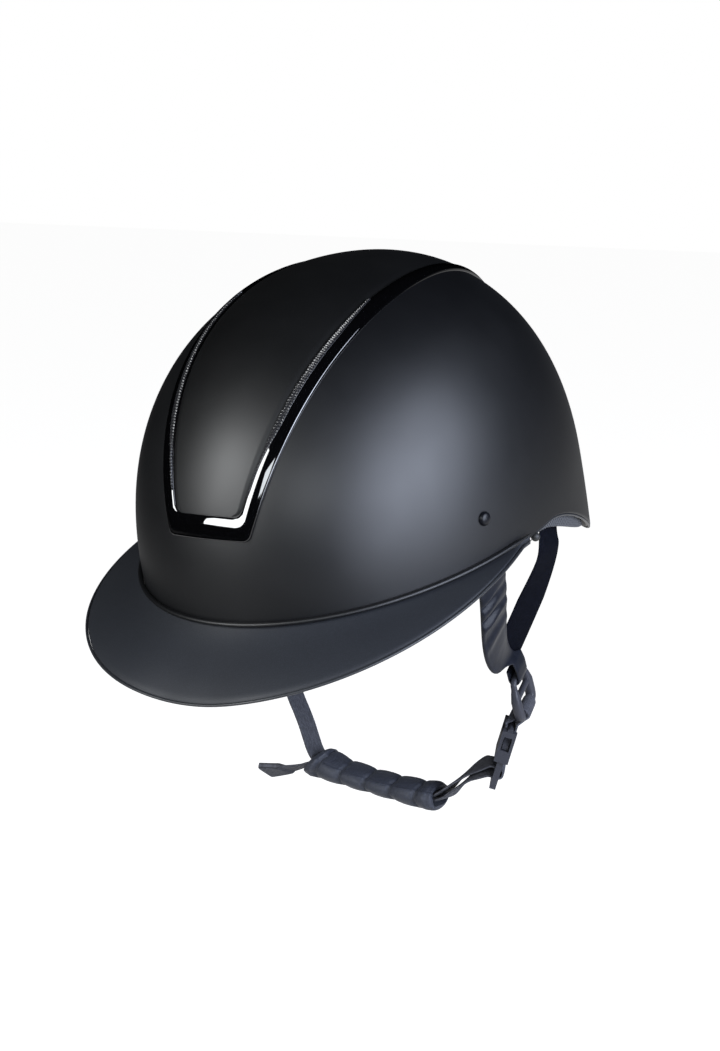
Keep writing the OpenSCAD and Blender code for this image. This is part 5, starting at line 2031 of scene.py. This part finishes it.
@dataclass(frozen=True)
class Interior(SubAssembly):
    """Foam liner, comfort pads, ear linings, strap anchors and the size adjuster.

    Attributes:
        foam_in: Inset of the foam's outer face.
        foam_side: Thickness of the foam at the sides.
        foam_end: Thickness in front and behind.
        foam_top: Thickness at the crown.
        foam_columns: Columns of points round it.
        foam_rows: Rows of points below the seam and above it.
        pad: Thickness of the pads.
        rim: Thickness of their rims.
        pad_gap: Gap between the foam and the pads.
        bay: Azimuth and edge height of the dial's bay.
        channels: Azimuths of the strap channels' sides.
        channel_top: Height where the channels run out.
        channel_depth: Depth of the channels.
        brow: Azimuths of the brow pad's ends, and its edges' heights.
        sides: The same for a side pad.
        nape: The same for a nape pad, above the foam's edge.
        ear_from: Azimuth where the ear lining starts, and its span.
        ear_drop: How far its ends and its middle hang down.
    """

    foam_in: float = 2.7
    foam_side: float = 16.0
    foam_end: float = 19.0
    foam_top: float = 21.0
    foam_columns: int = 144
    foam_rows: tuple[int, int] = (10, 40)
    pad: float = 6.0
    rim: float = 1.2
    pad_gap: float = 0.75
    bay: Pair = (156.0, -22.0)
    channels: tuple[Pair, ...] = ((65.0, 85.0), (97.0, 117.0))
    channel_top: float = 34.0
    channel_depth: float = 8.0
    brow: tuple[float, float, float, float] = (-62.0, 62.0, 1.0, 27.0)
    sides: tuple[float, float, float, float] = (68.0, 112.0, 30.0, 62.0)
    nape: tuple[float, float, float, float] = (100.0, 152.0, 1.0, 27.0)
    ear_from: Pair = (90.5, 32.5)
    ear_drop: Pair = (1.5, 5.8)

    def build(self) -> Iterator[Object]:
        """Makes the pieces one after the other."""
        yield self.build_foam()
        yield from self.build_pads()
        for side in Side:
            yield self.build_ear_lining(side)
            yield soften_cad(f"front_anchor_{side.label}", self.palette.anchor, 0.3)
            yield soften_cad(f"rear_anchor_{side.label}", self.palette.anchor, 0.4)
        for node in ("cradle_housing", "cradle_cover", "cradle_hanger", "band_left", "band_right"):
            yield soften_cad(node, self.palette.adjuster, 0.3)
        yield soften_cad("dial_knob", self.palette.adjuster, 0.25)
        yield soften_cad("dial_pinion", self.palette.steel, 0.0)
        yield soften_cad("dial_screw", self.palette.steel, 0.1)
        yield self.build_cradle_pad()

    def foam_edge(self, azimuth: Values) -> Points:
        """Height of the foam's lower edge.

        Args:
            azimuth: Degrees from the front.

        Returns:
            The heights.
        """
        t = from_front(azimuth)
        base = np.minimum(-1, self.dome.edge(azimuth) + 4)
        start, bay = self.bay
        rise = base + (bay - base) * (t / start) ** 24
        edge = np.where(t > start, bay, np.maximum(base, rise))
        return np.where(t < self.dome.ear, -1.0, edge)

    def build_foam(self) -> Object:
        """The liner with its strap channels.

        Returns:
            The piece.
        """
        d = self.dome
        azimuth = all_round(self.foam_columns)
        t = from_front(azimuth)
        edge = self.foam_edge(azimuth)
        cut = np.zeros(self.foam_columns)
        for low, high in self.channels:
            cut = np.maximum(cut, smoothstep(low - 3, low, t) * (1 - smoothstep(high, high + 3, t)))
        outer_z = d.heights(edge, d.height - self.foam_in, self.foam_rows)
        inner_z = d.heights(edge, d.height - self.foam_in - self.foam_top, self.foam_rows)
        below = 1 - smoothstep(self.channel_top, self.channel_top + 4, outer_z)
        inset = self.foam_in + self.channel_depth * cut[:, None] * below
        outer = d.point(azimuth[:, None], outer_z, inset, inset, self.foam_in)
        side, end = self.foam_in + self.foam_side, self.foam_in + self.foam_end
        inner = d.point(azimuth[:, None], inner_z, side, end, self.foam_in + self.foam_top)
        return make_piece(
            "liner_foam_body", skin(outer, inner), self.palette.foam, replaces=["foam_liner"],
            sharp=45,
        )

    def inner_wall(self, azimuth: Values, z: Values, depth: Values) -> Points:
        """Points in front of the foam's inner face.

        Args:
            azimuth: Degrees from the front.
            z: Heights.
            depth: Distances from the pads' backs.

        Returns:
            The points.
        """
        base = self.foam_in + self.pad_gap
        side, end = base + self.foam_side + depth, base + self.foam_end + depth
        return self.dome.point(azimuth, z, side, end, base + self.foam_top)

    def wall_pad(
        self, place: tuple[float, float, float, float], quilts: int, on_edge: bool = False
    ) -> Shape:
        """A crowned pad with sewn channels on the foam's inner wall.

        Args:
            place: Azimuths of its ends, and heights of its lower and upper edges.
            quilts: Number of cushions side by side.
            on_edge: Whether the heights are measured from the foam's lower edge.

        Returns:
            The pad.
        """
        first, last, low, high = place
        u, v = shares(max(36, int((last - first) * 1.2)), 24)
        azimuth = first + (last - first) * u
        z = low + (high - low) * v
        if on_edge:
            z = z + self.foam_edge(azimuth)
        crown = np.sin(np.pi * u).clip(1e-4) ** 0.3 * np.sin(np.pi * v).clip(1e-4) ** 0.45
        seam = np.abs(np.sin(np.pi * quilts * u)).clip(1e-4) ** 0.35
        seam = np.where((u < 0.5 / quilts) | (u > 1 - 0.5 / quilts), 1.0, 0.62 + 0.38 * seam)
        depth = self.rim + (self.pad - self.rim) * crown * seam
        back, face = self.inner_wall(azimuth, z, 0.0), self.inner_wall(azimuth, z, depth)
        return slab(back, face, rim=0.2)

    def build_pads(self) -> list[Object]:
        """Brow, crown, side and nape pads, filled out by the cloth simulation.

        Returns:
            The pads.
        """
        brow = self.wall_pad(self.brow, 6)
        pads = [
            self.cushion("brow_cushion", brow, "brow_pad"),
            self.cushion("crown_cushion", self.crown_pad(), "crown_pad"),
        ]
        shapes = {"side": self.wall_pad(self.sides, 2), "nape": self.wall_pad(self.nape, 3, True)}
        for side in Side:
            for kind, shape in shapes.items():
                name = f"{kind}_cushion_{side.label}"
                pads.append(self.cushion(name, shape.mirrored(side), f"{kind}_pad_{side.label}"))
        Filling().run(pads)
        return pads

    def cushion(self, name: str, shape: Shape, node: str) -> Object:
        """Makes one comfort pad, which stands for a CAD node."""
        return make_piece(
            name, shape, self.palette.comfort, replaces=[node], sharp=80,
        )

    def crown_pad(self) -> Shape:
        """A round cushion under the crown, sewn in six wedges.

        Returns:
            The cushion.
        """
        d = self.dome
        base = self.foam_in + self.pad_gap
        top = d.height - base - self.foam_top
        j = np.linspace(0, 1, 26)[None, :]
        azimuth = all_round(96)[:, None]
        depth = self.rim + (self.pad - self.rim) * np.sqrt(np.sin(np.pi / 2 * np.minimum(1, j * 1.2)))
        wedge = np.abs(np.sin(np.radians(azimuth * 3))).clip(1e-4) ** 0.3
        depth = depth * (0.72 + 0.28 * (wedge * (1 - j**2) + j**2))
        share = np.sin(np.radians(46 + 44 * j * 0.985)) ** (2 / d.power)
        outer = self.inner_wall(azimuth, top * share + 0 * azimuth, 0.0)
        k = (1 - share**d.power) ** (1 / d.power)
        a = np.radians(azimuth)
        x = (d.half_width - base - self.foam_side - depth) * k * np.sin(a)
        y = -(d.reach(azimuth) - base - self.foam_end - depth) * k * np.cos(a)
        return skin(outer, np.stack([x, y, (top - depth) * share], -1))

    def build_ear_lining(self, side: Side) -> Object:
        """Soft spacer mesh that bulges below the shell's edge behind the ear.

        Args:
            side: Side that it is on.

        Returns:
            The piece.
        """
        d = self.dome
        u, v = shares(70, 22)
        azimuth = self.ear_from[0] + self.ear_from[1] * u
        ends, middle = self.ear_drop
        low = d.edge(azimuth) - ends - middle * np.sin(np.pi * u).clip(1e-4) ** 0.8
        high = np.minimum(self.foam_edge(azimuth), d.edge(azimuth) + 4) - 0.3
        z = low + (high - low) * v
        near = d.wall + 0.3 + 0.75
        swell = np.interp(v, [0, 0.25, 0.5, 0.75, 1], [0.2, 0.8, 1, 0.9, 0.6])
        bulge = 0.54 * np.sin(np.pi * v).clip(0) * np.sin(np.pi * u).clip(0)
        outer = d.wall_at(azimuth, z, near - bulge)
        inner = d.wall_at(azimuth, z, near + 0.4 + 1.8 * swell)
        run = arc_length(outer[:, 10])[:, None]
        uv = np.stack(np.broadcast_arrays(run, v * (high - low)), -1) * MM
        return make_piece(
            f"ear_mesh_{side.label}", slab(outer, inner, uv, rim=0.3).mirrored(side), self.palette.ear,
            replaces=[f"ear_lining_{side.label}"], sharp=80,
        )

    def build_cradle_pad(self) -> Object:
        """The size adjuster's cushion, in the place of its CAD pad.

        Returns:
            The piece.
        """
        low, high = (np.array(c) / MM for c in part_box("cradle_pad"))
        u, v = shares(40, 26)
        x = low[0] + (high[0] - low[0]) * u
        z = low[2] + (high[2] - low[2]) * v
        crown = np.sin(np.pi * u).clip(1e-4) ** 0.35 * np.sin(np.pi * v).clip(1e-4) ** 0.4
        seam = 1 - 0.35 * np.exp(-(((u - 0.5) * 14) ** 2)) * np.sin(np.pi * v)
        depth = self.rim + (high[1] - low[1] - self.rim) * crown * seam
        back = np.stack(np.broadcast_arrays(x, high[1] + 0 * depth, z), -1)
        face = np.stack(np.broadcast_arrays(x, high[1] - depth, z), -1)
        return self.cushion("cradle_cushion", slab(face, back, rim=0.2), "cradle_pad")


# Studio and camera


@dataclass(frozen=True)
class Lamp:
    """A soft rectangular lamp that faces the helmet.

    Attributes:
        name: Its name.
        place: Where it stands, in metres.
        size: Width and height in metres.
        power: Watts.
        tint: Its colour.
        mirrored: Whether glossy surfaces mirror it.
    """

    name: str
    place: Triple
    size: Pair
    power: float
    tint: Colour
    mirrored: bool = True

    def build(self) -> None:
        """Adds the lamp to the scene."""
        data = bpy.data.lights.new(self.name, "AREA")
        data.shape = "RECTANGLE"
        data.size, data.size_y = self.size
        data.energy = self.power
        data.color = self.tint
        obj = bpy.data.objects.new(self.name, data)
        obj.location = self.place
        to = -Vector(self.place)
        obj.rotation_euler = to.to_track_quat("-Z", "Y").to_euler()
        obj.visible_glossy = self.mirrored
        bpy.context.scene.collection.objects.link(obj)


@dataclass(frozen=True)
class Studio:
    """White surroundings, lamps and the photograph's camera.

    Attributes:
        lean: Degrees that the floor leans in the helmet's own frame.
        lamps: The lamps.
        ambient: Strength of the white surroundings on matte surfaces.
        ceiling: Heights, on a sphere of radius 1, between which what is mirrored turns dark.
        floor_drop: How far the floor lies below the harness, in metres.
        floor_white: White that it shows the camera by itself.
        floor_half: Half of the floor's width in metres.
        lens: Focal length on a sensor 36 mm wide.
        camera_place: Where the camera stands, in metres.
        camera_turn: Its rotation in degrees.
    """

    lean: float
    lamps: tuple[Lamp, ...] = (
        Lamp("side_high", (1.35, 0.12, 0.54), (1.3, 0.8), 20.0, (0.76, 0.83, 1.0)),
        Lamp("side_low", (1.45, -0.25, 0.12), (1.3, 0.8), 23.0, (0.76, 0.83, 1.0)),
        Lamp("front", (-0.48, -1.2, 0.8), (0.75, 0.9), 21.0, (0.97, 0.99, 1.0)),
        Lamp("softbox", (0.85, -1.25, 0.7), (0.7, 0.4), 6.0, (0.90, 0.95, 1.0)),
        Lamp("brim_fill", (0.1, -1.6, 0.1), (1.2, 0.6), 4.0, (0.90, 0.95, 1.0), mirrored=False),
    )
    ambient: float = 0.07
    ceiling: Pair = (-0.75, -0.16)
    floor_drop: float = 0.16
    floor_white: float = 0.94
    floor_half: float = 6.0
    lens: float = 114.895
    camera_place: Triple = (0.94292, -1.23578, 0.64592)
    camera_turn: Triple = (66.8721, 9.9059, 33.2336)

    def build(self) -> None:
        """Makes the world, the floor, the lamps and the camera."""
        bpy.context.scene.view_settings.view_transform = "Standard"
        self.build_world()
        self.build_floor()
        for lamp in self.lamps:
            lamp.build()
        self.build_camera()

    def build_world(self) -> None:
        """White walls round the helmet under a dark ceiling, and all white to the camera."""
        world = bpy.data.worlds.new("studio")
        bpy.context.scene.world = world
        world.use_nodes = True
        kit = NodeKit(world.node_tree)
        background = kit.nodes["Background"].inputs
        background["Color"].default_value = (1.0, 1.0, 1.0, 1.0)
        rays = kit.node("LightPath").outputs
        seen = kit.worked_out(Sum.MAXIMUM, rays["Is Camera Ray"], rays["Is Transmission Ray"])
        height = kit.node("SeparateXYZ")
        kit.join(kit.node("TexCoord").outputs["Generated"], height.inputs["Vector"])
        white, dark = self.ceiling
        walls = kit.node(
            "MapRange", interpolation_type="SMOOTHSTEP", From_Min=dark, From_Max=white
        )
        kit.join(height.outputs["Z"], walls.inputs["Value"])
        mirrored = kit.worked_out(Sum.MULTIPLY, rays["Is Glossy Ray"], walls.outputs["Result"])
        fill = kit.worked_out(Sum.MULTIPLY, rays["Is Diffuse Ray"], self.ambient)
        shown = kit.worked_out(Sum.MAXIMUM, seen, mirrored)
        kit.join(kit.worked_out(Sum.MAXIMUM, shown, fill), background["Strength"])

    def floor_material(self) -> Material:
        """White to the camera from above, clear from below, grey to everything else.

        Returns:
            The material.
        """
        material = bpy.data.materials.new("floor")
        material.use_nodes = True
        kit = NodeKit(material.node_tree)
        grey = kit.nodes["Principled BSDF"]
        grey.inputs["Base Color"].default_value = (0.5, 0.5, 0.5, 1.0)
        grey.inputs["Roughness"].default_value = 0.9
        white = kit.node("Emission", Strength=self.floor_white)
        lit = kit.node("AddShader")
        kit.join(grey.outputs["BSDF"], lit.inputs[0])
        kit.join(white.outputs["Emission"], lit.inputs[1])
        seen = kit.node("LightPath").outputs["Is Camera Ray"]
        above = kit.mixed(seen, grey.outputs["BSDF"], lit.outputs["Shader"])
        clear = kit.node("BsdfTransparent").outputs["BSDF"]
        below = kit.node("NewGeometry").outputs["Backfacing"]
        kit.join(kit.mixed(below, above, clear), kit.nodes["Material Output"].inputs["Surface"])
        return material

    def build_floor(self) -> None:
        """A white floor below the hanging harness, level in the photograph."""
        size = self.floor_half
        low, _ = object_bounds()
        mesh = bpy.data.meshes.new("floor")
        corners = [(-size, -size, 0), (size, -size, 0), (size, size, 0), (-size, size, 0)]
        mesh.from_pydata(corners, [], [(0, 1, 2, 3)])
        mesh.materials.append(self.floor_material())
        floor = bpy.data.objects.new("floor", mesh)
        floor.location = (0.0, 0.0, low[2] - self.floor_drop)
        floor.rotation_euler = (-math.radians(self.lean), 0.0, 0.0)
        floor.visible_glossy = False
        bpy.context.scene.collection.objects.link(floor)
        floor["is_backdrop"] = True

    def build_camera(self) -> None:
        """The camera, fitted to the photograph, with no lens shift."""
        data = bpy.data.cameras.new("camera")
        data.sensor_width = 36.0
        data.lens = self.lens
        camera = bpy.data.objects.new("camera", data)
        camera.location = self.camera_place
        camera.rotation_euler = [math.radians(a) for a in self.camera_turn]
        bpy.context.scene.collection.objects.link(camera)
        bpy.context.scene.camera = camera


def main() -> None:
    """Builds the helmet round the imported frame, and its studio."""
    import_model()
    dome, palette, wearing = Dome.from_frame(), Palette(), Wearing()
    for group in (
        HardShell(dome, palette),
        Trim(dome, palette),
        Brim(dome, palette),
        Harness(dome, palette, wearing),
        Interior(dome, palette),
    ):
        for piece in group.build():
            LOG.info("%s: %s", type(group).__name__, piece.name)
    Studio(wearing.lean).build()


if __name__ == "__main__":
    logging.basicConfig(level=logging.INFO, format="%(name)s: %(message)s")
    main()
